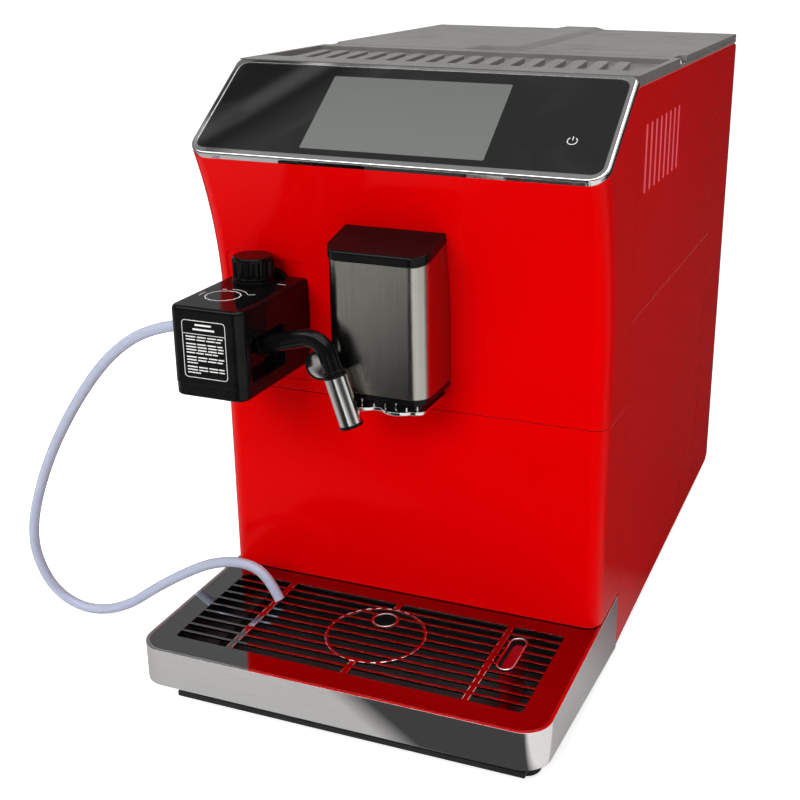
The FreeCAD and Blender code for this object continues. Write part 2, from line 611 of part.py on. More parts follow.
def rear_lid(side):
    """Flat lid whose rounded back edge turns on the hinge rod."""
    x = lid_span(side)
    profile = [(DECK_SPLIT + 0.3, LID_LOW, 0), (DECK_SPLIT + 0.3, DECK_TOP, 0.8),
               (HINGE_Y + LID_THICK / 2, DECK_TOP, LID_THICK / 2 - 0.01),
               (HINGE_Y + LID_THICK / 2, LID_LOW, LID_THICK / 2 - 0.01)]
    lid = prism_yz(profile, x)
    rim = [(x[0] + 9, TANK_FRONT + 3), (x[1] - 9, TANK_BACK - 10)]
    locator = slab((rim[0][0], rim[1][0]), (rim[0][1], rim[1][1]), (LID_LOW - 2.6, LID_LOW + 0.4), 6)
    locator = locator.cut(slab((rim[0][0] + 2, rim[1][0] - 2), (rim[0][1] + 2, rim[1][1] - 2),
                               (LID_LOW - 5, LID_LOW + 5), 4))
    ear_room = block(sorted((side * (BODY_HALF - 7.5), side * (BODY_HALF + 1))), (HINGE_Y - 4.5, DEPTH + 1),
                     (LID_LOW - 5, DECK_TOP + 5))
    bore = rod(HINGE_RADIUS + RUNNING_FIT, (x[0] - 1, HINGE_Y, HINGE_Z), (x[1] + 1, HINGE_Y, HINGE_Z))
    return fuse([lid, locator]).cut(ear_room).cut(finger_notch(side)).cut(bore)


def hopper_lid():
    lid = rear_lid(1)
    mark = [(57, 370), (110, 378)]
    outline = slab((mark[0][0], mark[1][0]), (mark[0][1], mark[1][1]), (DECK_TOP - 0.4, DECK_TOP + 1), 1.5)
    inside = slab((mark[0][0] + 1, mark[1][0] - 1), (mark[0][1] + 1, mark[1][1] - 1),
                  (DECK_TOP - 2, DECK_TOP + 2), 0.6)
    return lid.cut(outline.cut(inside))


def lid_hinge_rods():
    rods = [rod(HINGE_RADIUS, (-BODY_HALF + 3, HINGE_Y, HINGE_Z), (SPINE_LEFT + 5, HINGE_Y, HINGE_Z)),
            rod(HINGE_RADIUS, (SPINE_RIGHT - 5, HINGE_Y, HINGE_Z), (BODY_HALF - 3, HINGE_Y, HINGE_Z))]
    return Part.makeCompound(rods)


# ---- Beans, water and brewing -------------------------------------------------------------------
def open_box(x, y, z, wall, radius):
    outer = slab(x, y, z, radius)
    return outer.cut(slab(grow(x, -wall), grow(y, -wall), (z[0] + wall, z[1] + 1), radius - wall / 2))


def water_tank():
    x = (-SIDE_INNER + 6, SPINE_LEFT - 6)
    y = (TANK_FRONT + 2, TANK_BACK - 2)
    tank = open_box(x, y, (SHELF_Z + FRAME_SHEET, SIDE_TOP - 0.5), TANK_WALL, 8)
    spigot = upright(6, -90, 470, (SHELF_Z - 4, SHELF_Z + FRAME_SHEET + 1))
    return fuse([tank, spigot]).cut(upright(4, -90, 470, (SHELF_Z - 6, SHELF_Z + 9)))


def hopper_wire(x, y, z, radius):
    return rounded_wire(rectangle(x, y, [radius] * 4), lambda u, v: Vec(u, v, z))


def bean_hopper():
    x = (SPINE_RIGHT + 8, SIDE_INNER - 6)
    y = (TANK_FRONT + 2, TANK_BACK - 2)
    neck_low = SHELF_Z + FRAME_SHEET + GRINDER_HEIGHT
    waist = SIDE_TOP - 50
    neck_x = (GRINDER_X - 22, GRINDER_X + 22)
    neck_y = (GRINDER_Y - 22, GRINDER_Y + 22)
    outer = Part.makeLoft([hopper_wire(neck_x, neck_y, neck_low, 8), hopper_wire(x, y, waist, 12)], True)
    inner = Part.makeLoft([hopper_wire(grow(neck_x, -2.5), grow(neck_y, -2.5), neck_low - 0.01, 6),
                           hopper_wire(grow(x, -2.5), grow(y, -2.5), waist + 0.01, 10)], True)
    collar = slab(x, y, (waist, SIDE_TOP - 0.5), 12)
    collar_hole = slab(grow(x, -2.5), grow(y, -2.5), (waist - 1, SIDE_TOP + 1), 10)
    return fuse([outer, collar]).cut(inner).cut(collar_hole)


def grinder_housing():
    low = SHELF_Z + FRAME_SHEET
    high = low + GRINDER_HEIGHT
    body = upright(GRINDER_RADIUS, GRINDER_X, GRINDER_Y, (low, high - 0.1))
    chamber = upright(BURR_RADIUS + 3, GRINDER_X, GRINDER_Y, (low + 12, high - 12))
    throat = upright(15, GRINDER_X, GRINDER_Y, (high - 13, high + 1))
    shaft_hole = upright(SHAFT_RADIUS + 2, GRINDER_X, GRINDER_Y, (low - 1, low + 13))
    chute = block((GRINDER_X - 9, GRINDER_X + 9), (GRINDER_Y - GRINDER_RADIUS - 22, GRINDER_Y - 20),
                  (low, low + 30))
    chute_bore = block((GRINDER_X - 6.5, GRINDER_X + 6.5), (GRINDER_Y - GRINDER_RADIUS - 19, GRINDER_Y - 20),
                       (low - 1, low + 26))
    return fuse([body, chute]).cut(chamber).cut(throat).cut(shaft_hole).cut(chute_bore)


def burr(z, bore, groove_z):
    """Ring with radial cutting grooves on one face."""
    ring = upright(BURR_RADIUS, GRINDER_X, GRINDER_Y, z)
    grooves = []
    for i in range(12):
        groove = block((12, BURR_RADIUS + 1), (-1, 1), grow((groove_z, groove_z), 1.5))
        groove.rotate(Vec(0, 0, 0), Vec(0, 0, 1), i * 30)
        groove.translate(Vec(GRINDER_X, GRINDER_Y, 0))
        grooves.append(groove)
    return ring.cut(Part.makeCompound(grooves)).cut(upright(bore, GRINDER_X, GRINDER_Y, grow(z, 1)))


def upper_burr():
    high = BURR_FACE_Z + 9
    ring = burr((BURR_FACE_Z, high), 15, BURR_FACE_Z)
    seat = upright(BURR_RADIUS + 2.95, GRINDER_X, GRINDER_Y, (high - 4, high))
    return fuse([ring, seat.cut(upright(15, GRINDER_X, GRINDER_Y, (high - 5, high + 1)))])


def lower_burr():
    high = BURR_FACE_Z - 0.4
    plate = burr((high - 11, high), 0.5, high)
    shaft = upright(SHAFT_RADIUS, GRINDER_X, GRINDER_Y, (SHELF_Z - 10, high - 6))
    return fuse([plate, shaft])


def grinder_motor():
    z = (SHELF_Z - 66, SHELF_Z)
    can = upright(30, GRINDER_X, GRINDER_Y, (z[0], z[1] - 8))
    nose = upright(GRINDER_RADIUS - 10.5, GRINDER_X, GRINDER_Y, (z[1] - 8, z[1] + FRAME_SHEET))
    plate = block((GRINDER_X - 36, GRINDER_X + 36), (GRINDER_Y - 34, GRINDER_Y + 34), (z[1] - 8, z[1]))
    bearing = upright(SHAFT_RADIUS + RUNNING_FIT, GRINDER_X, GRINDER_Y, (SHELF_Z - 10.4, SHELF_Z + 9))
    return fuse([can, nose, plate]).cut(bearing)


def brew_frame():
    x = (BREW_X - 42, SCREW_X + 14)
    y = (BREW_Y - 30, BREW_Y + 34)
    floor = block(x, y, (FLOOR_Z, FLOOR_Z + 8))
    top = block(x, y, (236, 242))
    wall = block(x, (y[1] - 4, y[1]), (FLOOR_Z, 242))
    inlet = upright(8, BREW_X, BREW_Y, (230, 248))
    screw_holes = upright(SCREW_RADIUS - 1 + RUNNING_FIT, SCREW_X, BREW_Y, (FLOOR_Z + 2, 250))
    return fuse([floor, top, wall, inlet]).cut(screw_holes).cut(upright(4, BREW_X, BREW_Y, (225, 250)))


def brew_chamber():
    barrel = upright(CHAMBER_RADIUS + 6, BREW_X, BREW_Y, CHAMBER_Z)
    bracket = block((BREW_X - 26, BREW_X + 26), (BREW_Y + 10, BREW_Y + 30), (CHAMBER_Z[0] + 12, CHAMBER_Z[1] - 12))
    cap = upright(CHAMBER_RADIUS + 6, BREW_X, BREW_Y, (CHAMBER_Z[1], CHAMBER_Z[1] + 4))
    stem = upright(10, BREW_X, BREW_Y, (CHAMBER_Z[1], 230))
    bore = upright(CHAMBER_RADIUS, BREW_X, BREW_Y, (CHAMBER_Z[0] - 1, CHAMBER_Z[1]))
    return fuse([barrel, bracket, cap, stem]).cut(bore).cut(upright(3, BREW_X, BREW_Y, (CHAMBER_Z[0], 240)))


def brew_piston():
    head = upright(CHAMBER_RADIUS - 0.08, BREW_X, BREW_Y, (CHAMBER_Z[0] + 2, CHAMBER_Z[0] + 16))
    stem = upright(9, BREW_X, BREW_Y, (CHAMBER_Z[0] - 46, CHAMBER_Z[0] + 3))
    arm = block((BREW_X - 12, SCREW_X + 10), (BREW_Y - 10, BREW_Y + 10),
                (CHAMBER_Z[0] - 50, CHAMBER_Z[0] - 38))
    return fuse([head, stem, arm]).cut(upright(SCREW_RADIUS + 0.08, SCREW_X, BREW_Y, (60, 180)))


def brew_screw():
    journal = SCREW_RADIUS - 1
    shaft = upright(SCREW_RADIUS, SCREW_X, BREW_Y, (FLOOR_Z + 8.3, 235.7))
    ends = upright(journal, SCREW_X, BREW_Y, (FLOOR_Z + 2.3, 244))
    return fuse([shaft, ends])


def brew_motor():
    gearbox = block((SCREW_X - 26, SCREW_X + 13), (BREW_Y - 22, BREW_Y + 26), (242, 269.5))
    can = rod(13, (SCREW_X - 2, BREW_Y - 72, 256), (SCREW_X - 2, BREW_Y - 22, 256))
    socket = upright(SCREW_RADIUS - 1 + RUNNING_FIT, SCREW_X, BREW_Y, (241, 245))
    return fuse([gearbox, can]).cut(socket)


def grounds_bin():
    x = (16, SIDE_INNER - 8)
    y = (SIDE_PANEL_START + 12, BREW_Y - 46)
    bin_box = open_box(x, y, (FLOOR_Z, 128), 2.5, 9)
    grip = block((x[1] - 0.5, x[1] + 3.5), (y[0] + 35, y[1] - 35), (104, 110))
    return fuse([bin_box, grip])


def boiler():
    centre = (-75, 275)
    vessel = upright(40, *centre, (FLOOR_Z + 14, FLOOR_Z + 150))
    vessel = vessel.makeFillet(8, vessel.Edges[:1] + vessel.Edges[2:3])
    legs = [block((centre[0] + dx - 5, centre[0] + dx + 5), (centre[1] - 5, centre[1] + 5), (FLOOR_Z, FLOOR_Z + 18))
            for dx in (-27, 27)]
    outlet = upright(5, *centre, (FLOOR_Z + 149, FLOOR_Z + 166))
    thermostat = upright(9, centre[0] + 22, centre[1], (FLOOR_Z + 149, FLOOR_Z + 156))
    return fuse([vessel, outlet, thermostat] + legs)


def water_pump():
    axis = (-90, FLOOR_Z + 30)
    body = rod(20, (axis[0], 400, axis[1]), (axis[0], 466, axis[1]))
    nose = rod(7, (axis[0], 372, axis[1]), (axis[0], 492, axis[1]))
    cradle = block((axis[0] - 18, axis[0] + 18), (410, 456), (FLOOR_Z, axis[1]))
    return fuse([body, nose, cradle])


def bent_tube(points, radius):
    """Round tube along straight runs joined by tangent arcs."""
    wire = route_wire([Vec(*p) for p in points])
    return sweep_round(wire, radius)


def water_tubes():
    pump_z = FLOOR_Z + 30
    boiler_top = FLOOR_Z + 166
    lines = [bent_tube([(-90, 470, SHELF_Z - 4), (-90, 470, SHELF_Z - 34), (-90, 500, SHELF_Z - 60),
                        (-90, 540, 170), (-90, 548, 100), (-90, 532, pump_z), (-90, 492, pump_z)], 3.5),
             bent_tube([(-90, 372, pump_z), (-90, 345, pump_z), (-122, 330, 90), (-122, 320, 160),
                        (-75, 300, 214), (-75, 275, 214), (-75, 275, boiler_top)], 3)]
    return Part.makeCompound(lines)


def power_board():
    x = DIVIDER_X
    board = block((x - 7.6, x - 6), (400, 560), (110, 250))
    posts = [rod(3, (x, y, z), (x - 6, y, z)) for y in (408, 552) for z in (118, 242)]
    parts = [block((x - 34, x - 7.5), (470, 510), (190, 235)), block((x - 24, x - 7.5), (420, 440), (130, 170)),
             rod(8, (x - 7.5, 530, 150), (x - 30, 530, 150)), rod(8, (x - 7.5, 505, 150), (x - 30, 505, 150))]
    return fuse([board] + posts + parts)


# ---- Coffee dispenser ---------------------------------------------------------------------------
def head_slope_cut(x, y, low, high):
    """Band between two heights at the dispenser's front that rises towards the face."""
    rise = (y[1] - y[0]) * math.tan(math.radians(HEAD_SLOPE))
    return prism_yz([(y[0], low, 0), (y[0], high, 0), (y[1], high + rise, 0), (y[1], low + rise, 0)], x)


def head_plan(inset, y, z):
    """Dispenser outline in plan, drawn in by inset."""
    half = HEAD_HALF - inset
    return bow_fronted((-half, half), (HEAD_FRONT + inset, y), z, HEAD_RADIUS - inset)


def dispenser_shell():
    z = (HEAD_LOW, HEAD_HIGH + 30)
    skin = head_plan(0, FACE_Y + 5, z).cut(head_plan(HEAD_SKIN, FACE_Y + 9, grow(z, 5)))
    above = head_slope_cut((-BODY_HALF, BODY_HALF), (HEAD_FRONT, FACE_Y + 10), HEAD_HIGH, HEAD_HIGH + 50)
    return in_front_of_face(skin.cut(above), MOVING_GAP)


def dispenser_lid():
    front = HEAD_FRONT - HEAD_LID_LAP
    half = HEAD_HALF + HEAD_LID_LAP
    rise = (FACE_Y - HEAD_FRONT) * math.tan(math.radians(HEAD_SLOPE))
    top = HEAD_HIGH + HEAD_LID
    profile = [(front, HEAD_HIGH, 1.2), (front, top, 2.5), (FACE_Y, top + rise, 0), (FACE_Y, HEAD_HIGH + rise, 0)]
    cover = prism_yz(profile, (-half, half))
    lid = cover.common(head_plan(-HEAD_LID_LAP, FACE_Y + 5, (HEAD_HIGH - 5, HEAD_HIGH + 60)))
    plug = head_plan(HEAD_SKIN, FACE_Y - 14, (HEAD_HIGH - 5, HEAD_HIGH + 40))
    plug = plug.common(head_slope_cut((-half, half), (HEAD_FRONT, FACE_Y + 10), HEAD_HIGH - 3, HEAD_HIGH + 1))
    return in_front_of_face(fuse([lid, plug]), MOVING_GAP)


def dispenser_base():
    strip_low = HEAD_LOW - HEAD_STRIP
    strip = head_plan(0.6, FACE_Y - MOVING_GAP, (strip_low, HEAD_LOW))
    core = head_plan(HEAD_CORE_INSET, FACE_Y - MOVING_GAP, (HEAD_LOW - HEAD_BASE, strip_low + 1))
    plug = head_plan(HEAD_SKIN, FACE_Y - 1, (HEAD_LOW - 1, HEAD_LOW + 5))
    spine = block((-34, 34), (FACE_Y - 17, FACE_Y - 13), (HEAD_LOW, HEAD_HIGH - 3))
    return fuse([strip, core, plug, spine])


def nozzle_plate():
    z = (HEAD_LOW - HEAD_BASE - NOZZLE_PLATE, HEAD_LOW - HEAD_BASE)
    plate = bow_fronted((-HEAD_HALF + 3, HEAD_HALF - 3), (HEAD_FRONT + NOZZLE_PLATE_SETBACK, FACE_Y - 2), z, 8)
    lobes = [upright(NOZZLE_LOBE, side * NOZZLE_X, NOZZLE_Y - 1, z) for side in (-1, 1)]
    holes = [upright(6, side * NOZZLE_X, NOZZLE_Y, grow(z, 1)) for side in (-1, 1)]
    body = fuse([plate] + lobes)
    body = body.makeFillet(1.0, edges_where(body, lambda p: p.z < z[0] + 0.01 and p.y < FACE_Y - 4))
    return body.cut(Part.makeCompound(holes))


def coffee_nozzles():
    top = HEAD_LOW - HEAD_BASE
    tubes = []
    for side in (-1, 1):
        x = side * NOZZLE_X
        neck = upright(5.95, x, NOZZLE_Y, (top - NOZZLE_PLATE, top))
        spout = upright(4.6, x, NOZZLE_Y, (top - NOZZLE_PLATE - NOZZLE_DROP, top - 1))
        tubes.append(fuse([neck, spout]).cut(upright(2.6, x, NOZZLE_Y, (top - 12, top - 1))))
    return Part.makeCompound(tubes)


def dispenser_carriage():
    stem = block((-STEM_HALF, STEM_HALF), (FACE_Y - 13, FACE_Y + 5), STEM_Z)
    head = block((-GUIDE_X - 8, GUIDE_X + 8), (FACE_Y + 4.4, FACE_Y + 13), STEM_Z)
    bores = [upright(GUIDE_RADIUS + RUNNING_FIT, side * GUIDE_X, FACE_Y + 8.8, grow(STEM_Z, 2)) for side in (-1, 1)]
    return fuse([stem, head]).cut(Part.makeCompound(bores))


def dispenser_guide():
    z = (STEM_Z[0] - HEAD_TRAVEL - 6, STEM_Z[1] + 8)
    rods = [upright(GUIDE_RADIUS, side * GUIDE_X, FACE_Y + 8.8, z) for side in (-1, 1)]
    low = block((-GUIDE_X - 8, GUIDE_X + 8), (FACE_Y + WALL, FACE_Y + 15), (z[0], z[0] + 4))
    high = block((-GUIDE_X - 8, GUIDE_X + 8), (FACE_Y - 15, FACE_Y + 15), (z[1] - 4, z[1]))
    behind = front_block(WALL + 0.05, WALL, BASE_GAP, SIDE_PANEL_START + 60)
    return fuse([low, high.common(behind)] + rods)


# ---- Milk frother -------------------------------------------------------------------------------
def frother_dock():
    front = FACE_Y - DOCK_PROUD
    coupling = rod(DOCK_RADIUS - 2.05, (DOCK_X, front, DOCK_Z), (DOCK_X, FACE_Y + 8, DOCK_Z))
    flange = rod(DOCK_RADIUS, (DOCK_X, front, DOCK_Z), (DOCK_X, FACE_Y + 8, DOCK_Z))
    flange = in_front_of_face(flange, 0.02)
    nut = rod(DOCK_RADIUS + 3, (DOCK_X, FACE_Y + WALL + 0.05, DOCK_Z), (DOCK_X, FACE_Y + 8, DOCK_Z))
    steam_pin = rod(6, (DOCK_X, FACE_Y - 26, DOCK_Z - 4), (DOCK_X, front + 1, DOCK_Z - 4))
    return fuse([coupling, flange, nut, steam_pin])


def frother_body(x, y, z, radius):
    return prism_xy(rectangle(x, y, (radius, radius, 3, 3)), z)


def spout_axis():
    reach = Vec(SPOUT_ELBOW[0] - SPOUT_ROOT[0], 0, SPOUT_ELBOW[1] - SPOUT_ROOT[1])
    return reach.normalize()


def spout_point(along):
    """Point on the swivel axis of the spout."""
    return Vec(SPOUT_ROOT[0], SPOUT_Y, SPOUT_ROOT[1]) + spout_axis() * along


def frother_housing():
    z = (FROTH_Z[0] + FROTH_CAP + 0.2, FROTH_Z[1])
    y = (FROTH_FRONT, FACE_Y + 2)
    body = frother_body(FROTH_X, y, z, FROTH_RADIUS)
    body = body.makeFillet(FROTH_TOP_ROUND, edges_where(body, lambda p: p.z > z[1] - 0.01 and p.y < FACE_Y))
    room = frother_body((FROTH_X[0] + FROTH_WALL, FROTH_X[1] - FROTH_THICK_WALL), (y[0] + FROTH_WALL, FACE_Y - 5),
                        (z[0] - 1, z[1] - FROTH_WALL), FROTH_RADIUS - FROTH_WALL)
    niche = prism_yz([(SPOUT_Y - 24, z[0] + 1.5, 3), (SPOUT_Y + 24, z[0] + 1.5, 3), (SPOUT_Y + 24, 285, 6),
                      (SPOUT_Y - 24, 285, 6)], (SPOUT_ROOT[0], FROTH_X[1] + 5))
    swivel = rod(5.0 + RUNNING_FIT, tuple(spout_point(-9)), tuple(spout_point(9)))
    knob_bore = upright(4 + RUNNING_FIT, KNOB_X, KNOB_Y, (z[1] - 9, z[1] + 5))
    barb_bore = rod(3.0, (FROTH_X[0] - 1, HOSE_EXIT_Y, HOSE_EXIT_Z), (FROTH_X[0] + 9, HOSE_EXIT_Y, HOSE_EXIT_Z))
    dock_room = rod(DOCK_RADIUS + MOVING_GAP, (DOCK_X, FACE_Y - DOCK_PROUD - MOVING_GAP, DOCK_Z),
                    (DOCK_X, FACE_Y + 9, DOCK_Z))
    pin_room = rod(6 + MOVING_GAP, (DOCK_X, FACE_Y - 30, DOCK_Z - 4), (DOCK_X, FACE_Y, DOCK_Z - 4))
    for tool in (room, niche, swivel, knob_bore, barb_bore, dock_room, pin_room):
        body = body.cut(tool)
    return in_front_of_face(body, MOVING_GAP)


def frother_bottom_cap():
    x = grow(FROTH_X, -0.3)
    y = (FROTH_FRONT + 0.3, FACE_Y - MOVING_GAP)
    cap = frother_body(x, y, (FROTH_Z[0], FROTH_Z[0] + FROTH_CAP), FROTH_RADIUS)
    cap = cap.makeFillet(2.0, edges_where(cap, lambda p: p.z < FROTH_Z[0] + 0.01))
    plug = frother_body((FROTH_X[0] + FROTH_WALL + 0.1, FROTH_X[1] - FROTH_THICK_WALL - 0.1),
                        (FROTH_FRONT + FROTH_WALL + 0.1, FACE_Y - 6),
                        (FROTH_Z[0] + FROTH_CAP - 1, FROTH_Z[0] + FROTH_CAP + 4), FROTH_RADIUS - FROTH_WALL)
    return fuse([cap, plug])


def frother_knob():
    base = FROTH_Z[1] + 0.3
    flange = upright(KNOB_RADIUS + 0.6, KNOB_X, KNOB_Y, (base, base + 2.2))
    waist = upright(KNOB_RADIUS - 1.4, KNOB_X, KNOB_Y, (base + 1, base + 4))
    grip = upright(KNOB_RADIUS, KNOB_X, KNOB_Y, (base + 3.2, base + KNOB_HEIGHT))
    grip = grip.makeFillet(1.8, edges_where(grip, lambda p: p.z > base + KNOB_HEIGHT - 0.1))
    flutes = []
    for i in range(KNOB_FLUTES):
        turn = 2 * math.pi * (i + 0.5) / KNOB_FLUTES
        x = KNOB_X + (KNOB_RADIUS + 0.9) * math.cos(turn)
        y = KNOB_Y + (KNOB_RADIUS + 0.9) * math.sin(turn)
        flutes.append(upright(KNOB_FLUTE_RADIUS, x, y, (base + 4.5, base + KNOB_HEIGHT - 3)))
    shaft = upright(4, KNOB_X, KNOB_Y, (base - 6, base + 3))
    return fuse([flange, waist, grip.cut(Part.makeCompound(flutes)), shaft])


def hose_collar():
    ring = rod(5.5, (FROTH_X[0] - COLLAR_LENGTH, HOSE_EXIT_Y, HOSE_EXIT_Z), (FROTH_X[0], HOSE_EXIT_Y, HOSE_EXIT_Z))
    spigot = rod(3.0, (FROTH_X[0] - 0.5, HOSE_EXIT_Y, HOSE_EXIT_Z), (FROTH_X[0] + 8, HOSE_EXIT_Y, HOSE_EXIT_Z))
    return fuse([ring, spigot])


def tip_direction():
    run = Vec(SPOUT_END[0] - SPOUT_ELBOW[0], 0, SPOUT_END[1] - SPOUT_ELBOW[1])
    return run.normalize()


def tip_start():
    return Vec(SPOUT_END[0], SPOUT_Y, SPOUT_END[1]) - tip_direction() * TIP_LENGTH


def spout_arm():
    elbow = Vec(SPOUT_ELBOW[0], SPOUT_Y, SPOUT_ELBOW[1])
    start = spout_point(5)
    end = tip_start()
    turn = spout_axis().getAngle(tip_direction())
    reach = SPOUT_BEND * math.tan(turn / 2)
    bend_in = elbow - spout_axis() * reach
    bend_out = elbow + tip_direction() * reach
    inward = (tip_direction() - spout_axis()).normalize()
    middle = elbow + inward * (SPOUT_BEND / math.cos(turn / 2) - SPOUT_BEND)
    wire = Part.Wire([Part.makeLine(start, bend_in), Part.Arc(bend_in, middle, bend_out).toShape(),
                      Part.makeLine(bend_out, end)])
    tube = sweep_round(wire, SPOUT_RADIUS)
    flange = rod(8.0, tuple(spout_point(2.8)), tuple(spout_point(5.2)))
    spigot = rod(5.0, tuple(spout_point(-4)), tuple(spout_point(3)))
    collar = rod(TIP_RADIUS - 0.2, tuple(end - tip_direction() * 4.5), tuple(end - tip_direction() * 2.6))
    seat = rod(TIP_RADIUS + 0.2, tuple(end - tip_direction() * 1.8), tuple(end))
    return fuse([tube, flange, spigot, collar, seat])


def spout_tip():
    start = tip_start()
    end = Vec(SPOUT_END[0], SPOUT_Y, SPOUT_END[1])
    return rod(TIP_RADIUS, tuple(start), tuple(end)).cut(rod(TIP_RADIUS - 1.2, tuple(start + tip_direction() * 2),
                                                             tuple(end + tip_direction() * 5)))


def spout_end_ring():
    end = Vec(SPOUT_END[0], SPOUT_Y, SPOUT_END[1])
    ring = rod(TIP_RADIUS + 0.4, tuple(end), tuple(end + tip_direction() * 2.4))
    ring = ring.makeFillet(0.8, edges_where(ring, lambda p: (p - end).dot(tip_direction()) > 2.3))
    return ring.cut(rod(TIP_RADIUS - 2.2, tuple(end - tip_direction()), tuple(end + tip_direction() * 5)))


def spout_thumb_disc():
    y = SPOUT_Y + SPOUT_RADIUS + 0.2
    centre = (-40.0, 261.2)
    disc = rod(10.5, (centre[0], y, centre[1]), (centre[0], y + 4, centre[1]))
    dish = rod(9.2, (centre[0], y - 1, centre[1]), (centre[0], y + 0.7, centre[1]))
    neck = tip_start() - tip_direction() * 9
    web = block((centre[0] + 9, neck.x), (SPOUT_Y + 3, y + 3.5), (centre[1] - 2, neck.z + 3))
    pieces = fuse([disc.cut(dish), web]).cut(spout_arm()).Solids
    return max(pieces, key=lambda piece: piece.Volume)


# ---- Milk hose ----------------------------------------------------------------------------------
def route_wire(points):
    """Straight runs joined by tangent arcs, each as large as its two runs allow."""
    edges = []
    place = points[0]
    radii = []
    for before, here, after in zip(points, points[1:], points[2:]):
        back = (before - here).normalize()
        ahead = (after - here).normalize()
        reach = 0.45 * min(before.distanceToPoint(here), here.distanceToPoint(after))
        half = back.getAngle(ahead) / 2
        radius = reach * math.tan(half)
        radii.append(round(radius, 1))
        middle = here + (back + ahead).normalize() * (radius / math.sin(half) - radius)
        edges.append(Part.LineSegment(place, here + back * reach).toShape())
        edges.append(Part.Arc(here + back * reach, middle, here + ahead * reach).toShape())
        place = here + ahead * reach
    edges.append(Part.LineSegment(place, points[-1]).toShape())
    print("bend radii", radii, "length", round(sum(edge.Length for edge in edges), 1))
    return Part.Wire(edges)


def sweep_round(wire, radius):
    """Round solid along a smooth wire."""
    first = wire.Edges[0]
    start = first.valueAt(first.FirstParameter)
    heading = first.tangentAt(first.FirstParameter)
    ring = Part.Wire(Part.makeCircle(radius, start, heading))
    tube = Part.Wire(wire).makePipeShell([ring], True, False)
    print("tube volume", round(tube.Volume), "section x length", round(math.pi * radius ** 2 * wire.Length))
    return tube


def milk_hose():
    return bent_tube(HOSE_POINTS, HOSE_RADIUS)


# ---- Drip tray ----------------------------------------------------------------------------------
def tray_outline(inset, z):
    half = TRAY_WIDTH / 2 - inset
    return bow_fronted((-half, half), (inset, TRAY_BACK), z, TRAY_RADIUS - inset)


def tray_band():
    z = (BASE_GAP, TRAY_TOP)
    half = TRAY_WIDTH / 2 - BAND_THICK
    inner = bow_fronted((-half, half), (BAND_THICK, TRAY_BACK + 5), grow(z, 5), TRAY_RADIUS - BAND_THICK)
    band = tray_outline(0, z).cut(inner)
    below = prism_yz([(-5, 0, 0), (-5, BAND_FRONT_LOW, 0), (TRAY_RADIUS, BAND_FRONT_LOW - 0.4, 0),
                      (TRAY_BACK + 1, BASE_GAP, 0), (TRAY_BACK + 1, 0, 0)], (-TRAY_WIDTH, TRAY_WIDTH))
    return band.cut(below)


def grille_bars(z):
    pitch = (GRILLE_Y[1] - GRILLE_Y[0] - BAR_WIDTH * BAR_COUNT) / (BAR_COUNT + 1) + BAR_WIDTH
    start = GRILLE_Y[0] + pitch - BAR_WIDTH
    return [block(grow(GRILLE_X, 1), (start + i * pitch, start + i * pitch + BAR_WIDTH), z) for i in range(BAR_COUNT)]


def tray_plate():
    z = (PLATE_LOW, TRAY_TOP)
    plate = tray_outline(BAND_THICK + 0.05, z)
    cut_z = grow(z, 1)
    slots = slab(GRILLE_X, GRILLE_Y, cut_z, 3)
    ribs = [block((x - GRILLE_RIB / 2, x + GRILLE_RIB / 2), grow(GRILLE_Y, 1), cut_z) for x in RIB_XS]
    within = upright(RING_RADIUS - RING_WIDTH, *RING_CENTRE, cut_z)
    ring = upright(RING_RADIUS, *RING_CENTRE, cut_z).cut(within)
    ribs = [rib.cut(within) for rib in ribs]
    drain = upright(DRAIN_RADIUS + RING_WIDTH, *DRAIN_CENTRE, cut_z)
    surround = stadium(grow(FLOAT_X, FLOAT_SURROUND), grow(FLOAT_Y, FLOAT_SURROUND), cut_z)
    for keep in grille_bars(cut_z) + ribs + [ring, drain, surround]:
        slots = slots.cut(keep)
    openings = [slots, upright(DRAIN_RADIUS, *DRAIN_CENTRE, cut_z), stadium(FLOAT_X, FLOAT_Y, cut_z)]
    for opening in openings:
        plate = plate.cut(opening)
    return plate


def pan_shape(inset, floor, high):
    """Wide shallow upper part over a narrower lower part."""
    side = TRAY_WIDTH / 2 - BAND_THICK - 0.05 - inset
    upper = bow_fronted((-side, side), (BAND_THICK + 0.05 + inset, TRAY_BACK - 1 - inset),
                        (PAN_STEP_Z + floor, high), TRAY_RADIUS - BAND_THICK - inset)
    low_side = TRAY_WIDTH / 2 - PAN_INSET - inset
    lower = bow_fronted((-low_side, low_side), (PAN_FRONT + inset, TRAY_BACK - 6 - inset),
                        (PAN_FLOOR + floor, PAN_STEP_Z + floor + 1), 12 - inset)
    return fuse([upper, lower])


def tray_pan():
    posts = [upright(4, x, y, (PAN_STEP_Z + PAN_WALL - 1, PLATE_LOW)) for x in (-140, 140) for y in (40, 175)]
    return fuse([pan_shape(0, 0, PLATE_LOW).cut(pan_shape(PAN_WALL, PAN_WALL, PLATE_LOW + 1))] + posts)


def tray_float():
    x = grow(FLOAT_X, -0.8)
    y = grow(FLOAT_Y, -0.8)
    buoy = stadium(x, y, (PAN_FLOOR + PAN_WALL + 0.3, PLATE_LOW - FLOAT_SUNK))
    return buoy.makeFillet(0.6, edges_where(buoy, lambda p: p.z > PLATE_LOW - FLOAT_SUNK - 0.1))


# ---- Fasteners ----------------------------------------------------------------------------------
def screw_places():
    return [(x, z) for x in (-140, 0, 140) for z in (30, 230, SIDE_TOP - 18)]


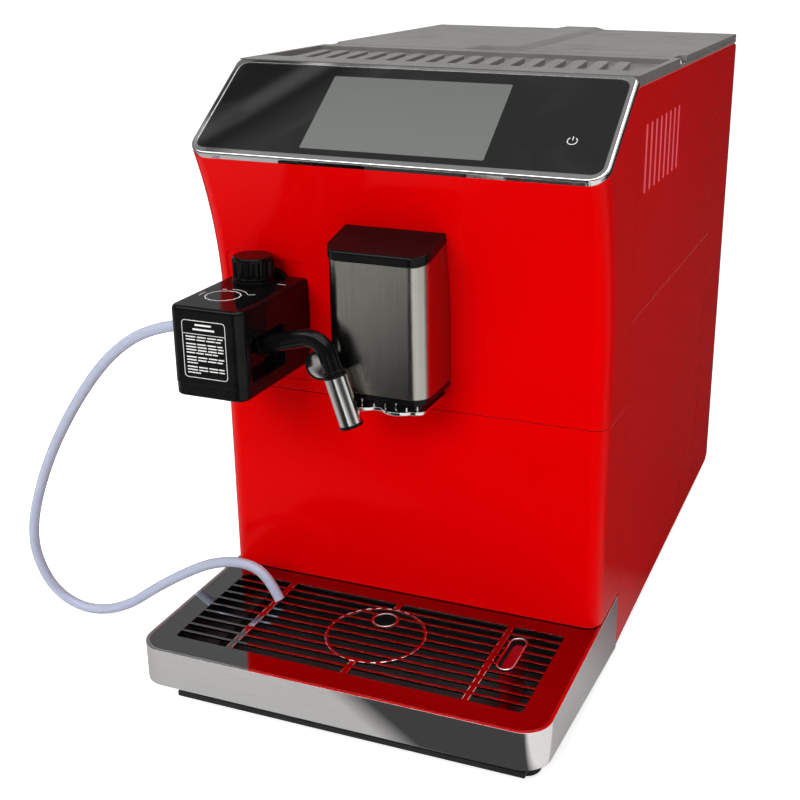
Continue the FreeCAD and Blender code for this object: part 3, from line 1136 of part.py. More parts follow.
def rear_screws():
    screws = []
    for x, z in screw_places():
        head = rod(SCREW_HEAD, (x, DEPTH - 2.2, z), (x, DEPTH - 0.1, z))
        cross = [block((x - 2.4, x + 2.4), (DEPTH - 1.2, DEPTH + 1), (z - 0.5, z + 0.5)),
                 block((x - 0.5, x + 0.5), (DEPTH - 1.2, DEPTH + 1), (z - 2.4, z + 2.4))]
        screws.append(head.cut(cross[0]).cut(cross[1]))
    return Part.makeCompound(screws)


# ---- Writing the nodes --------------------------------------------------------------------------
NODES = {
    "base_chassis": base_chassis, "feet": feet, "inner_frame": inner_frame,
    "upper_front_shell": upper_front_shell, "lower_front_panel": lower_front_panel,
    "right_side_panel": right_side_panel, "left_side_panel": lambda: side_panel(-1),
    "service_door": service_door, "door_hinge_pins": door_hinge_pins, "rear_panel": rear_panel,
    "power_inlet": power_inlet, "rocker_switch_housing": rocker_switch_housing, "rocker_key": rocker_key,
    "panel_frame": panel_frame, "panel_glass": panel_glass, "display_module": display_module,
    "control_board": control_board, "cup_deck": cup_deck, "top_rear_frame": top_rear_frame,
    "hopper_lid": hopper_lid, "tank_lid": lambda: rear_lid(-1), "lid_hinge_rods": lid_hinge_rods,
    "water_tank": water_tank, "bean_hopper": bean_hopper, "grinder_housing": grinder_housing,
    "upper_burr": upper_burr, "lower_burr": lower_burr, "grinder_motor": grinder_motor,
    "brew_frame": brew_frame, "brew_chamber": brew_chamber, "brew_piston": brew_piston,
    "brew_screw": brew_screw, "brew_motor": brew_motor, "grounds_bin": grounds_bin,
    "boiler": boiler, "water_pump": water_pump, "water_tubes": water_tubes, "power_board": power_board,
    "dispenser_shell": dispenser_shell, "dispenser_lid": dispenser_lid, "dispenser_base": dispenser_base,
    "nozzle_plate": nozzle_plate, "coffee_nozzles": coffee_nozzles, "dispenser_carriage": dispenser_carriage,
    "dispenser_guide": dispenser_guide, "frother_dock": frother_dock, "frother_housing": frother_housing,
    "frother_bottom_cap": frother_bottom_cap, "rear_screws": rear_screws, "frother_knob": frother_knob,
    "hose_collar": hose_collar, "spout_arm": spout_arm, "spout_tip": spout_tip,
    "spout_end_ring": spout_end_ring, "spout_thumb_disc": spout_thumb_disc, "milk_hose": milk_hose,
    "tray_band": tray_band, "tray_plate": tray_plate, "tray_pan": tray_pan, "tray_float": tray_float,
}


def save(name, shape):
    """Writes one node, centred on the machine's depth."""
    shape.translate(Vec(0, -DEPTH / 2, 0))
    shape.exportStep(os.path.join("parts", name + ".step"))
    box = shape.BoundBox
    print(f"{name:24s} solids {len(shape.Solids)} valid {shape.isValid()} "
          f"x {box.XMin:.1f} {box.XMax:.1f} y {box.YMin:.1f} {box.YMax:.1f} z {box.ZMin:.1f} {box.ZMax:.1f}")


os.makedirs("parts", exist_ok=True)
for node_name, make in NODES.items():
    save(node_name, make())
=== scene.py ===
# %% [markdown]
# # A bean-to-cup coffee machine, dressed in Blender
# The machine's shape comes from a CAD model: sixty separate parts, each where it sits on the real
# machine. This lesson loads those parts, gives each its finish, and adds what CAD leaves plain: the
# soft milk hose, the printed marks, the small fittings and a studio around it all.

# %% Load the frame
import json
import math

import bmesh
import bpy
from mathutils import Matrix, Vector


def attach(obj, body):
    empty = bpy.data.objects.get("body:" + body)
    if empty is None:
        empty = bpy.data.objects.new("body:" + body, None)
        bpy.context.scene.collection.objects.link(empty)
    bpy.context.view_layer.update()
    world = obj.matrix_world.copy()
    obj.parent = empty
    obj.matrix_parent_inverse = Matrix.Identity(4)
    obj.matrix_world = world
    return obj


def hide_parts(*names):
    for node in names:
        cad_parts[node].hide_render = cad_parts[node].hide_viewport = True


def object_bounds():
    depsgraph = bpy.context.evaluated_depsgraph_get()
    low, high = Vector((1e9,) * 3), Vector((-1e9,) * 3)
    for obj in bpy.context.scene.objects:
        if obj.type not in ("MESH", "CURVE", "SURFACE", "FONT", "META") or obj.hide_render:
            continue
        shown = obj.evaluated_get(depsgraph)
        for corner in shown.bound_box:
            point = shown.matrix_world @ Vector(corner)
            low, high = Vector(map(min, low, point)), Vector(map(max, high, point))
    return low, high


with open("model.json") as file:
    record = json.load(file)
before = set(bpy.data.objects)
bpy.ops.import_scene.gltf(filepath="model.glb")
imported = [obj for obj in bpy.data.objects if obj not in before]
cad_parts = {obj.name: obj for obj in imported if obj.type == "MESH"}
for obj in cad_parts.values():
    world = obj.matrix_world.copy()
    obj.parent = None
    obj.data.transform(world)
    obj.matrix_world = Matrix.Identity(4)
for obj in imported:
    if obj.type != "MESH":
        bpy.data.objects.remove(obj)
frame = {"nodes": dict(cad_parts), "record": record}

MM = 0.001
cad_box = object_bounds()
nodes = frame["nodes"]

# %% [markdown]
# ## The camera
# A product picture is made from far enough away that the box looks calm, and from a little above, so
# that both the front and the top show. The camera stands to the right of the machine and looks back
# at it. Its lens is a short tele. A small shift frames the machine without tilting the camera more,
# as a view camera does, so the upright edges stay upright.

# %% Place the camera
CAMERA_PLACE = Vector((0.3435, -0.9373, 0.5469))
CAMERA_AZIMUTH = math.radians(20.07)
CAMERA_ELEVATION = math.radians(19.0)
CAMERA_ROLL = math.radians(0.4)
LENS_MM = 55.27
FRAME_SHIFT = (-0.1005, -0.0533)


def camera_matrix():
    """The camera's place and turn, from its azimuth, elevation and roll."""
    level = math.cos(CAMERA_ELEVATION)
    back = Vector((math.sin(CAMERA_AZIMUTH) * level, -math.cos(CAMERA_AZIMUTH) * level,
                   math.sin(CAMERA_ELEVATION)))
    right = Vector((math.cos(CAMERA_AZIMUTH), math.sin(CAMERA_AZIMUTH), 0))
    up = back.cross(right)
    turned_right = right * math.cos(CAMERA_ROLL) + up * math.sin(CAMERA_ROLL)
    turned_up = up * math.cos(CAMERA_ROLL) - right * math.sin(CAMERA_ROLL)
    turn = Matrix((turned_right, turned_up, back)).transposed().to_4x4()
    return Matrix.Translation(CAMERA_PLACE) @ turn


camera_data = bpy.data.cameras.new("studio_camera")
camera_data.lens = LENS_MM
camera_data.shift_x, camera_data.shift_y = FRAME_SHIFT
camera_data.clip_start = 0.05
camera_data.clip_end = 100
camera = bpy.data.objects.new("studio_camera", camera_data)
camera.matrix_world = camera_matrix()
bpy.context.scene.collection.objects.link(camera)
bpy.context.scene.camera = camera
print("camera at", tuple(round(x, 3) for x in camera.location))

# %% [markdown]
# ## The milk hose
# The hose is silicone tube, 8 mm outside and 5 mm inside, a little over 60 cm long. It leaves the
# frother's collar, drops in a wide bow to the counter, and comes back over the tray's edge. Its line
# is one NURBS spline through a few control points: a spline has no corners, so the tube
# bends the way silicone does. The wall is then swept along that line as a mesh, because a hollow tube
# needs an inside face as well, and a curve's bevel makes only the outside.

# %% Draw the hose's line
HOSE_DIAMETER = 0.008
HOSE_BORE = 0.005
HOSE_POINTS = [
    (-0.1345, -0.2375, 0.2865), (-0.1605, -0.2365, 0.282), (-0.203, -0.2295, 0.256),
    (-0.245, -0.2215, 0.210), (-0.282, -0.2155, 0.156), (-0.308, -0.2095, 0.104),
    (-0.319, -0.2045, 0.068), (-0.318, -0.1995, 0.040), (-0.309, -0.195, 0.0175),
    (-0.290, -0.1915, 0.0047), (-0.266, -0.1895, 0.0047), (-0.238, -0.1905, 0.017),
    (-0.210, -0.193, 0.039), (-0.180, -0.1975, 0.060), (-0.148, -0.201, 0.079),
    (-0.118, -0.2025, 0.0855), (-0.097, -0.2045, 0.079), (-0.0862, -0.2073, 0.0614),
]


def smooth_line(points, steps):
    """Points along one NURBS spline that has these control points."""
    curve = bpy.data.curves.new("route", "CURVE")
    curve.dimensions = "3D"
    spline = curve.splines.new("NURBS")
    spline.points.add(len(points) - 1)
    for control, place in zip(spline.points, points):
        control.co = (*place, 1.0)
    spline.order_u = 3
    spline.use_endpoint_u = True
    spline.resolution_u = steps
    holder = bpy.data.objects.new("route", curve)
    line_mesh = bpy.data.meshes.new_from_object(holder)
    line = [v.co.copy() for v in line_mesh.vertices]
    bpy.data.meshes.remove(line_mesh)
    bpy.data.curves.remove(curve)
    return line


hose_line = smooth_line(HOSE_POINTS, 10)
print("hose line:", len(hose_line), "points,",
      round(sum((b - a).length for a, b in zip(hose_line, hose_line[1:])), 3), "m")


# %% Sweep the hollow wall
def link_mesh(name, mesh):
    """A new object in the scene that holds this mesh."""
    piece = bpy.data.objects.new(name, mesh)
    bpy.context.scene.collection.objects.link(piece)
    return piece


def mesh_from(name, make):
    """Runs make(bm) on an empty bmesh and returns the piece, with clean outward normals."""
    bm = bmesh.new()
    make(bm)
    bmesh.ops.remove_doubles(bm, verts=bm.verts, dist=1e-7)
    bmesh.ops.recalc_face_normals(bm, faces=bm.faces)
    mesh = bpy.data.meshes.new(name)
    bm.to_mesh(mesh)
    bm.free()
    return link_mesh(name, mesh)


def bridge(bm, ring_a, ring_b):
    """Faces between two closed rings of the same number of corners."""
    count = len(ring_a)
    for i in range(count):
        bm.faces.new((ring_a[i], ring_a[(i + 1) % count], ring_b[(i + 1) % count], ring_b[i]))


def carried_frames(line):
    """A side direction at each point of a line, carried along without twist."""
    side = (line[1] - line[0]).orthogonal().normalized()
    frames = []
    for i, here in enumerate(line):
        ahead = line[min(i + 1, len(line) - 1)] - line[max(i - 1, 0)]
        ahead.normalize()
        side = (side - ahead * side.dot(ahead)).normalized()
        frames.append((here, side, ahead.cross(side)))
    return frames


def tube_rings(bm, line, radius, sides):
    """One ring of corners at each point of the line."""
    rings = []
    for here, u, v in carried_frames(line):
        turns = [2 * math.pi * k / sides for k in range(sides)]
        rings.append([bm.verts.new(here + (u * math.cos(t) + v * math.sin(t)) * radius) for t in turns])
    return rings


def smooth(piece, angle=math.radians(40)):
    """Smooth shading, with edges sharper than angle left crisp."""
    for face in piece.data.polygons:
        face.use_smooth = True
    piece.data.set_sharp_from_angle(angle=angle)
    return piece


HOSE_SIDES = 28


def sweep_hose(bm):
    outside = tube_rings(bm, hose_line, HOSE_DIAMETER / 2, HOSE_SIDES)
    inside = tube_rings(bm, hose_line, HOSE_BORE / 2, HOSE_SIDES)
    for rings in (outside, inside):
        for a, b in zip(rings, rings[1:]):
            bridge(bm, a, b)
    bridge(bm, outside[0], inside[0])
    bridge(bm, outside[-1], inside[-1])


hose = smooth(mesh_from("milk_hose_silicone", sweep_hose))
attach(hose, "frother")
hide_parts("milk_hose")
print("hose faces:", len(hose.data.polygons))

# %% [markdown]
# ## Wiring materials
# Every finish below is a small network of nodes. Three helpers keep the networks readable: one adds a
# node and fills its inputs, one does arithmetic, and one starts a node group with named sockets. A
# group is an effect that several finishes share, each with its own values.


# %% Node helpers
def add(tree, kind, inputs=None, **settings):
    """A node with its settings, and its inputs set to values or linked to other nodes' outputs."""
    node = tree.nodes.new("ShaderNode" + kind)
    for name, value in settings.items():
        setattr(node, name, value)
    for name, value in (inputs or {}).items():
        plug(tree, value, node.inputs[name])
    return node


def plug(tree, value, socket):
    """Links an output to a socket, or sets the socket to a plain value."""
    if isinstance(value, bpy.types.NodeSocket):
        tree.links.new(value, socket)
    else:
        socket.default_value = value


def calc(tree, operation, *values):
    """The result of one arithmetic step."""
    return add(tree, "Math", dict(enumerate(values)), operation=operation).outputs[0]


def blend_colours(tree, factor, first, second):
    """A colour between two others."""
    mixer = add(tree, "Mix", {0: factor, 6: first, 7: second}, data_type="RGBA")
    return mixer.outputs[2]


def spread(tree, value, low, high, to_low=0.0, to_high=1.0):
    """Stretches a value's range onto a new one, and clips what falls outside."""
    names = ("Value", "From Min", "From Max", "To Min", "To Max")
    stretch = add(tree, "MapRange", dict(zip(names, (value, low, high, to_low, to_high))))
    return stretch.outputs[0]


def place_of(tree):
    """Where on the machine a point is, in metres."""
    return add(tree, "TexCoord").outputs["Object"]


def start_group(name, inputs, outputs):
    """An empty node group with named inputs (name, value) and outputs (name, kind)."""
    group = bpy.data.node_groups.new(name, "ShaderNodeTree")
    for label, value in inputs:
        socket = group.interface.new_socket(name=label, in_out="INPUT", socket_type="NodeSocketFloat")
        socket.default_value = value
    for label, kind in outputs:
        group.interface.new_socket(name=label, in_out="OUTPUT", socket_type="NodeSocket" + kind)
    return group, group.nodes.new("NodeGroupInput").outputs, group.nodes.new("NodeGroupOutput").inputs


def use(tree, group, **values):
    """Places a group in a material; underscores in names stand for spaces."""
    node = tree.nodes.new("ShaderNodeGroup")
    node.node_tree = group
    for name, value in values.items():
        plug(tree, value, node.inputs[name.replace("_", " ")])
    return node.outputs


# %% [markdown]
# ## Shared effects
# Six effects turn up again and again on a kitchen machine. Moulded plastic has a fine grain. Gloss
# paint and gloss plastic are never flat: they carry a faint waviness. Steel is brushed in one
# direction. Hands leave soft smudges that only change how sharp a reflection is. Corners are never
# knife-sharp, and are painted a little brighter than the faces: a painted highlight, with a little
# wear in it. A little dust lies on what faces up.


# %% Grain, waviness and smudges
def make_grain():
    """Moulded grain: Height for a bump, and Shade to vary a colour."""
    tree, given, result = start_group("moulded_grain", [("Size", 0.0006)],
                                      [("Height", "Float"), ("Shade", "Float")])
    scale = calc(tree, "DIVIDE", 1.0, given["Size"])
    fine = add(tree, "TexNoise", {"Vector": place_of(tree), "Scale": scale, "Detail": 3.0})
    broad = add(tree, "TexNoise", {"Vector": place_of(tree), "Scale": calc(tree, "MULTIPLY", scale, 0.03)})
    tree.links.new(fine.outputs["Fac"], result["Height"])
    mixed = calc(tree, "ADD", calc(tree, "MULTIPLY", fine.outputs["Fac"], 0.4),
                 calc(tree, "MULTIPLY", broad.outputs["Fac"], 0.6))
    tree.links.new(mixed, result["Shade"])
    return tree


def make_waviness():
    """The slow waves of a moulded or painted gloss face, as a Height."""
    tree, given, result = start_group("gloss_waviness", [("Wave", 0.02)], [("Height", "Float")])
    scale = calc(tree, "DIVIDE", 1.0, given["Wave"])
    waves = add(tree, "TexNoise", {"Vector": place_of(tree), "Scale": scale, "Detail": 1.0})
    tree.links.new(waves.outputs["Fac"], result["Height"])
    return tree


def make_smudges():
    """Finger marks and wiping marks, as a Roughness between Clean and Touched."""
    tree, given, result = start_group("hand_smudges", [("Size", 0.04), ("Clean", 0.05), ("Touched", 0.2)],
                                      [("Roughness", "Float"), ("Mask", "Float")])
    scale = calc(tree, "DIVIDE", 1.0, given["Size"])
    clouds = add(tree, "TexNoise", {"Vector": place_of(tree), "Scale": scale, "Detail": 5.0,
                                    "Roughness": 0.6, "Distortion": 0.6})
    mask = spread(tree, clouds.outputs["Fac"], 0.5, 0.75)
    tree.links.new(mask, result["Mask"])
    tree.links.new(spread(tree, mask, 0.0, 1.0, given["Clean"], given["Touched"]), result["Roughness"])
    return tree


GRAIN = make_grain()
WAVINESS = make_waviness()
SMUDGES = make_smudges()
print("groups:", [group.name for group in bpy.data.node_groups])


# %% Brushed lines, soft corners and dust
def make_brushed():
    """Brush lines: noise squeezed across the brush and drawn out along it."""
    tree, given, result = start_group("brushed_lines", [("Across", 0.0002), ("Along X", 1.0),
                                                        ("Along Y", 1.0), ("Along Z", 40.0)],
                                      [("Height", "Float"), ("Shade", "Float")])
    stretch = add(tree, "CombineXYZ", {"X": given["Along X"], "Y": given["Along Y"], "Z": given["Along Z"]})
    drawn = add(tree, "VectorMath", {0: place_of(tree), 1: stretch.outputs[0]}, operation="DIVIDE")
    scale = calc(tree, "DIVIDE", 1.0, given["Across"])
    fine = add(tree, "TexNoise", {"Vector": drawn.outputs[0], "Scale": scale, "Detail": 2.0})
    broad = add(tree, "TexNoise", {"Vector": drawn.outputs[0], "Scale": calc(tree, "MULTIPLY", scale, 0.12),
                                   "Detail": 3.0})
    tree.links.new(fine.outputs["Fac"], result["Height"])
    mixed = calc(tree, "ADD", calc(tree, "MULTIPLY", fine.outputs["Fac"], 0.5),
                 calc(tree, "MULTIPLY", broad.outputs["Fac"], 0.5))
    tree.links.new(mixed, result["Shade"])
    return tree


def make_soft_corners():
    """A normal that rounds corners off, and a mask that is 1 on them."""
    tree, given, result = start_group("soft_corners", [("Radius", 0.0006)],
                                      [("Normal", "Vector"), ("Mask", "Float")])
    rounded = add(tree, "Bevel", {"Radius": given["Radius"]}, samples=4)
    flat = add(tree, "NewGeometry").outputs["Normal"]
    turn = add(tree, "VectorMath", {0: rounded.outputs[0], 1: flat}, operation="DOT_PRODUCT")
    tree.links.new(rounded.outputs[0], result["Normal"])
    tree.links.new(spread(tree, turn.outputs["Value"], 0.995, 0.85), result["Mask"])
    return tree


def make_dust():
    """Dust on what faces up, as a Mask."""
    tree, given, result = start_group("settled_dust", [("Amount", 0.15)], [("Mask", "Float")])
    facing = add(tree, "SeparateXYZ", {0: add(tree, "NewGeometry").outputs["Normal"]}).outputs["Z"]
    up = spread(tree, facing, 0.5, 1.0)
    specks = add(tree, "TexNoise", {"Vector": place_of(tree), "Scale": 900.0, "Detail": 4.0})
    clouds = add(tree, "TexNoise", {"Vector": place_of(tree), "Scale": 14.0, "Detail": 3.0})
    patchy = calc(tree, "MULTIPLY", spread(tree, specks.outputs["Fac"], 0.45, 0.7),
                  spread(tree, clouds.outputs["Fac"], 0.3, 0.7))
    lying = calc(tree, "MULTIPLY", patchy, up)
    tree.links.new(calc(tree, "MULTIPLY", lying, given["Amount"]), result["Mask"])
    return tree


BRUSHED = make_brushed()
SOFT_CORNERS = make_soft_corners()
DUST = make_dust()
print("groups:", len(bpy.data.node_groups))


# %% Start a finish
def start_finish(name, **plain):
    """A material and its Principled shader, with plain values set on the shader's own sockets."""
    material = bpy.data.materials.new(name)
    material.use_nodes = True
    shader = material.node_tree.nodes["Principled BSDF"]
    for socket, value in plain.items():
        shader.inputs[socket.replace("_", " ")].default_value = value
    return material, material.node_tree, shader.inputs


def bump(tree, height, strength, distance, normal=None):
    """A bump node's normal."""
    values = {"Height": height, "Strength": strength, "Distance": distance}
    if normal is not None:
        values["Normal"] = normal
    return add(tree, "Bump", values).outputs["Normal"]


def opaque(red, green, blue):
    """A colour with full alpha."""
    return (red, green, blue, 1.0)


# %% [markdown]
# ## Red gloss panels
# The cabinet's skin is injection-moulded plastic with its colour all through and a polished face. The
# red is so full that even its reflections look red, which is what Specular Tint does here. The face
# waves a little, and hands leave faint smudges. The cut edges of the side louvres catch light from a
# whole room, and a studio this plain has little to give them. So the wall of each slot that faces
# front is painted lighter, and glows a little.


# %% Where the louvres catch light
LOUVRE_FOOT = (0.3705, 0.3715)
LOUVRE_HEAD = (0.4225, 0.4215)
LOUVRE_FRONT = (-0.09, -0.085)
FACING_FRONT = (-0.6, -0.9)
SLOT_HIGHLIGHT = opaque(1.0, 0.16, 0.2)
SLOT_GLINT = 0.25


def louvre_highlight_walls(tree):
    """1 on the walls of the side louvres that face front, where a highlight is painted, and 0 elsewhere."""
    spot = add(tree, "SeparateXYZ", {0: place_of(tree)}).outputs
    facing = add(tree, "SeparateXYZ", {0: add(tree, "NewGeometry").outputs["Normal"]}).outputs
    walls = calc(tree, "MULTIPLY", spread(tree, spot["Z"], *LOUVRE_FOOT),
                 spread(tree, spot["Z"], *LOUVRE_HEAD))
    walls = calc(tree, "MULTIPLY", walls, spread(tree, facing["Y"], *FACING_FRONT))
    return calc(tree, "MULTIPLY", walls, spread(tree, spot["Y"], *LOUVRE_FRONT))


# %% Red gloss
def make_red_gloss():
    material, tree, shader = start_finish("red_gloss", Specular_Tint=opaque(1.0, 0.0, 0.0), IOR=1.5)
    corners = use(tree, SOFT_CORNERS, Radius=0.0009)
    waves = use(tree, WAVINESS, Wave=0.03)
    smudge = use(tree, SMUDGES, Size=0.05, Clean=0.10, Touched=0.16)
    broad = use(tree, GRAIN, Size=0.004)
    face = blend_colours(tree, spread(tree, broad["Shade"], 0.35, 0.65), opaque(0.66, 0.0, 0.0),
                         opaque(0.70, 0.0, 0.0008))
    # Painted highlight along the corners, with a little wear: the corners get a lighter red.
    rubbed_and_highlit = blend_colours(tree, calc(tree, "MULTIPLY", corners["Mask"], 0.35), face,
                           opaque(0.85, 0.02, 0.03))
    slot_highlight = louvre_highlight_walls(tree)
    # Painted highlight: the louvre walls that face front get a lighter red, and a faint glow.
    plug(tree, blend_colours(tree, slot_highlight, rubbed_and_highlit, SLOT_HIGHLIGHT), shader["Base Color"])
    plug(tree, SLOT_HIGHLIGHT, shader["Emission Color"])
    plug(tree, calc(tree, "MULTIPLY", slot_highlight, SLOT_GLINT), shader["Emission Strength"])
    plug(tree, smudge["Roughness"], shader["Roughness"])
    plug(tree, bump(tree, waves["Height"], 0.06, 0.001, corners["Normal"]), shader["Normal"])
    return material


# %% [markdown]
# ## Grey top
# The deck and the rear lids are satin-painted plastic that imitates cast metal: a fine even grain, a
# soft sheen, and a little settled dust.


# %% Grey satin
def make_grey_satin():
    material, tree, shader = start_finish("grey_satin", Metallic=0.1, Specular_IOR_Level=0.3)
    corners = use(tree, SOFT_CORNERS, Radius=0.0006)
    grain = use(tree, GRAIN, Size=0.0005)
    dust = use(tree, DUST, Amount=0.25)
    smudge = use(tree, SMUDGES, Size=0.06, Clean=0.34, Touched=0.44)
    face = blend_colours(tree, spread(tree, grain["Shade"], 0.3, 0.7), opaque(0.145, 0.138, 0.130),
                         opaque(0.205, 0.196, 0.185))
    # Painted highlight along the corners, with a little wear: the corners get a lighter grey.
    rubbed_and_highlit = blend_colours(tree, calc(tree, "MULTIPLY", corners["Mask"], 0.5), face,
                           opaque(0.30, 0.29, 0.27))
    dusty = blend_colours(tree, dust["Mask"], rubbed_and_highlit, opaque(0.42, 0.40, 0.37))
    plug(tree, dusty, shader["Base Color"])
    plug(tree, smudge["Roughness"], shader["Roughness"])
    plug(tree, bump(tree, grain["Height"], 0.12, 0.0002, corners["Normal"]), shader["Normal"])
    return material


# %% [markdown]
# ## Black parts
# Two blacks: a polished one on the frother, the dispenser's lid and the knob, and a grained matt one
# on the base and the tray's pan, which nobody is meant to notice.


# %% Polished black and matt black
def make_black_gloss():
    material, tree, shader = start_finish("black_gloss", Specular_IOR_Level=0.13)
    corners = use(tree, SOFT_CORNERS, Radius=0.0007)
    waves = use(tree, WAVINESS, Wave=0.012)
    smudge = use(tree, SMUDGES, Size=0.02, Clean=0.07, Touched=0.17)
    face = blend_colours(tree, smudge["Mask"], opaque(0.0035, 0.0035, 0.004), opaque(0.006, 0.006, 0.0065))
    # Painted highlight along the corners, with a little wear: the corners get a dark grey.
    rubbed_and_highlit = blend_colours(tree, calc(tree, "MULTIPLY", corners["Mask"], 0.4), face,
                           opaque(0.03, 0.03, 0.031))
    plug(tree, rubbed_and_highlit, shader["Base Color"])
    plug(tree, smudge["Roughness"], shader["Roughness"])
    plug(tree, bump(tree, waves["Height"], 0.05, 0.001, corners["Normal"]), shader["Normal"])
    return material


def make_black_matte():
    material, tree, shader = start_finish("black_matte")
    corners = use(tree, SOFT_CORNERS, Radius=0.0006)
    grain = use(tree, GRAIN, Size=0.0005)
    dust = use(tree, DUST, Amount=0.3)
    face = blend_colours(tree, spread(tree, grain["Shade"], 0.3, 0.7), opaque(0.010, 0.010, 0.011),
                         opaque(0.022, 0.022, 0.023))
    # Painted highlight along the corners, with a little wear: the corners get a lighter black.
    rubbed_and_highlit = blend_colours(tree, calc(tree, "MULTIPLY", corners["Mask"], 0.5), face,
                           opaque(0.07, 0.07, 0.07))
    plug(tree, blend_colours(tree, dust["Mask"], rubbed_and_highlit, opaque(0.2, 0.19, 0.18)), shader["Base Color"])
    plug(tree, spread(tree, grain["Height"], 0.3, 0.7, 0.42, 0.62), shader["Roughness"])
    plug(tree, bump(tree, grain["Height"], 0.35, 0.0003, corners["Normal"]), shader["Normal"])
    return material


# %% [markdown]
# ## Bright metals
# Chrome plate, mirror-polished steel, brushed steel and turned steel are the same shader with
# different skins. What tells them apart is the pattern in the roughness and the bump: none on chrome,
# hairlines on the plate, long upright brush lines on the dispenser, rings on turned parts.


# %% Metals
def make_metal(name, dark, light, roughness, lines, across=0.00025, depth=0.05, corner=0.0005):
    """Bare metal. lines is (along X, along Y, along Z): how far a brush line is drawn out each way."""
    material, tree, shader = start_finish(name, Metallic=1.0)
    corners = use(tree, SOFT_CORNERS, Radius=corner)
    brushed = use(tree, BRUSHED, Across=across, Along_X=lines[0], Along_Y=lines[1], Along_Z=lines[2])
    smudge = use(tree, SMUDGES, Size=0.03, Clean=roughness[0], Touched=roughness[1])
    face = blend_colours(tree, spread(tree, brushed["Shade"], 0.3, 0.7), opaque(*dark), opaque(*light))
    # Painted highlight along the corners, with a little wear: the corners get a brighter colour.
    bright = tuple(min(1.0, channel * 1.25) for channel in light)
    plug(tree, blend_colours(tree, calc(tree, "MULTIPLY", corners["Mask"], 0.5), face, opaque(*bright)),
         shader["Base Color"])
    streaked = calc(tree, "MULTIPLY", spread(tree, brushed["Height"], 0.25, 0.75, 0.75, 1.25),
                    smudge["Roughness"])
    plug(tree, streaked, shader["Roughness"])
    plug(tree, bump(tree, brushed["Height"], depth, 0.0002, corners["Normal"]), shader["Normal"])
    return material


# %% [markdown]
# ## Glass, display and clear parts
# The touch panel is glass, painted black behind except over the display. The display is dark when
# the machine sleeps, a flat grey with a faint grid in it. The water tank and the hopper are smoked
# clear plastic.


# %% Panel glass, display, smoked plastic and silicone
def make_panel_black():
    material, tree, shader = start_finish("panel_black", IOR=1.52)
    smudge = use(tree, SMUDGES, Size=0.035, Clean=0.03, Touched=0.09)
    tone = blend_colours(tree, smudge["Mask"], opaque(0.008, 0.0085, 0.008), opaque(0.013, 0.0135, 0.013))
    plug(tree, tone, shader["Base Color"])
    plug(tree, smudge["Roughness"], shader["Roughness"])
    return material


def make_display_grey():
    material, tree, shader = start_finish("display_grey", IOR=1.52)
    smudge = use(tree, SMUDGES, Size=0.05, Clean=0.10, Touched=0.18)
    spot = add(tree, "SeparateXYZ", {0: place_of(tree)}).outputs
    rise = spread(tree, spot["Z"], 0.39, 0.46)
    face = blend_colours(tree, rise, opaque(0.155, 0.163, 0.152), opaque(0.125, 0.131, 0.124))
    columns = calc(tree, "SINE", calc(tree, "MULTIPLY", spot["X"], 9000.0))
    grid = spread(tree, columns, -1.0, 1.0, 0.0, 0.05)
    plug(tree, blend_colours(tree, grid, face, opaque(0.12, 0.12, 0.12)), shader["Base Color"])
    plug(tree, smudge["Roughness"], shader["Roughness"])
    return material


def make_clear_smoke():
    material, tree, shader = start_finish("clear_smoke", Transmission_Weight=0.8, IOR=1.49)
    smudge = use(tree, SMUDGES, Size=0.05, Clean=0.06, Touched=0.2)
    plug(tree, blend_colours(tree, smudge["Mask"], opaque(0.20, 0.20, 0.21), opaque(0.26, 0.26, 0.26)),
         shader["Base Color"])
    plug(tree, smudge["Roughness"], shader["Roughness"])
    return material


def make_hose_silicone():
    material, tree, shader = start_finish("hose_silicone", Transmission_Weight=0.55, IOR=1.41)
    smudge = use(tree, SMUDGES, Size=0.01, Clean=0.12, Touched=0.3)
    cloudy = use(tree, GRAIN, Size=0.0015)
    plug(tree, blend_colours(tree, cloudy["Shade"], opaque(0.70, 0.76, 0.95), opaque(0.80, 0.85, 0.98)),
         shader["Base Color"])
    plug(tree, smudge["Roughness"], shader["Roughness"])
    plug(tree, bump(tree, cloudy["Height"], 0.05, 0.0002), shader["Normal"])
    return material


# %% [markdown]
# ## Plain workshop finishes
# Inside the cabinet are parts a customer never sees: nylon, circuit boards, rubber feet, zinc. They
# share one recipe of a grained, slightly uneven colour.


# %% Moulded and coated parts
def make_moulded(name, dark, light, roughness, size=0.0006, depth=0.2, **plain):
    """Moulded plastic, rubber or a lacquered board."""
    material, tree, shader = start_finish(name, **plain)
    corners = use(tree, SOFT_CORNERS, Radius=0.0004)
    grain = use(tree, GRAIN, Size=size)
    plug(tree, blend_colours(tree, spread(tree, grain["Shade"], 0.3, 0.7), opaque(*dark), opaque(*light)),
         shader["Base Color"])
    plug(tree, spread(tree, grain["Height"], 0.3, 0.7, *roughness), shader["Roughness"])
    plug(tree, bump(tree, grain["Height"], depth, 0.0002, corners["Normal"]), shader["Normal"])
    return material


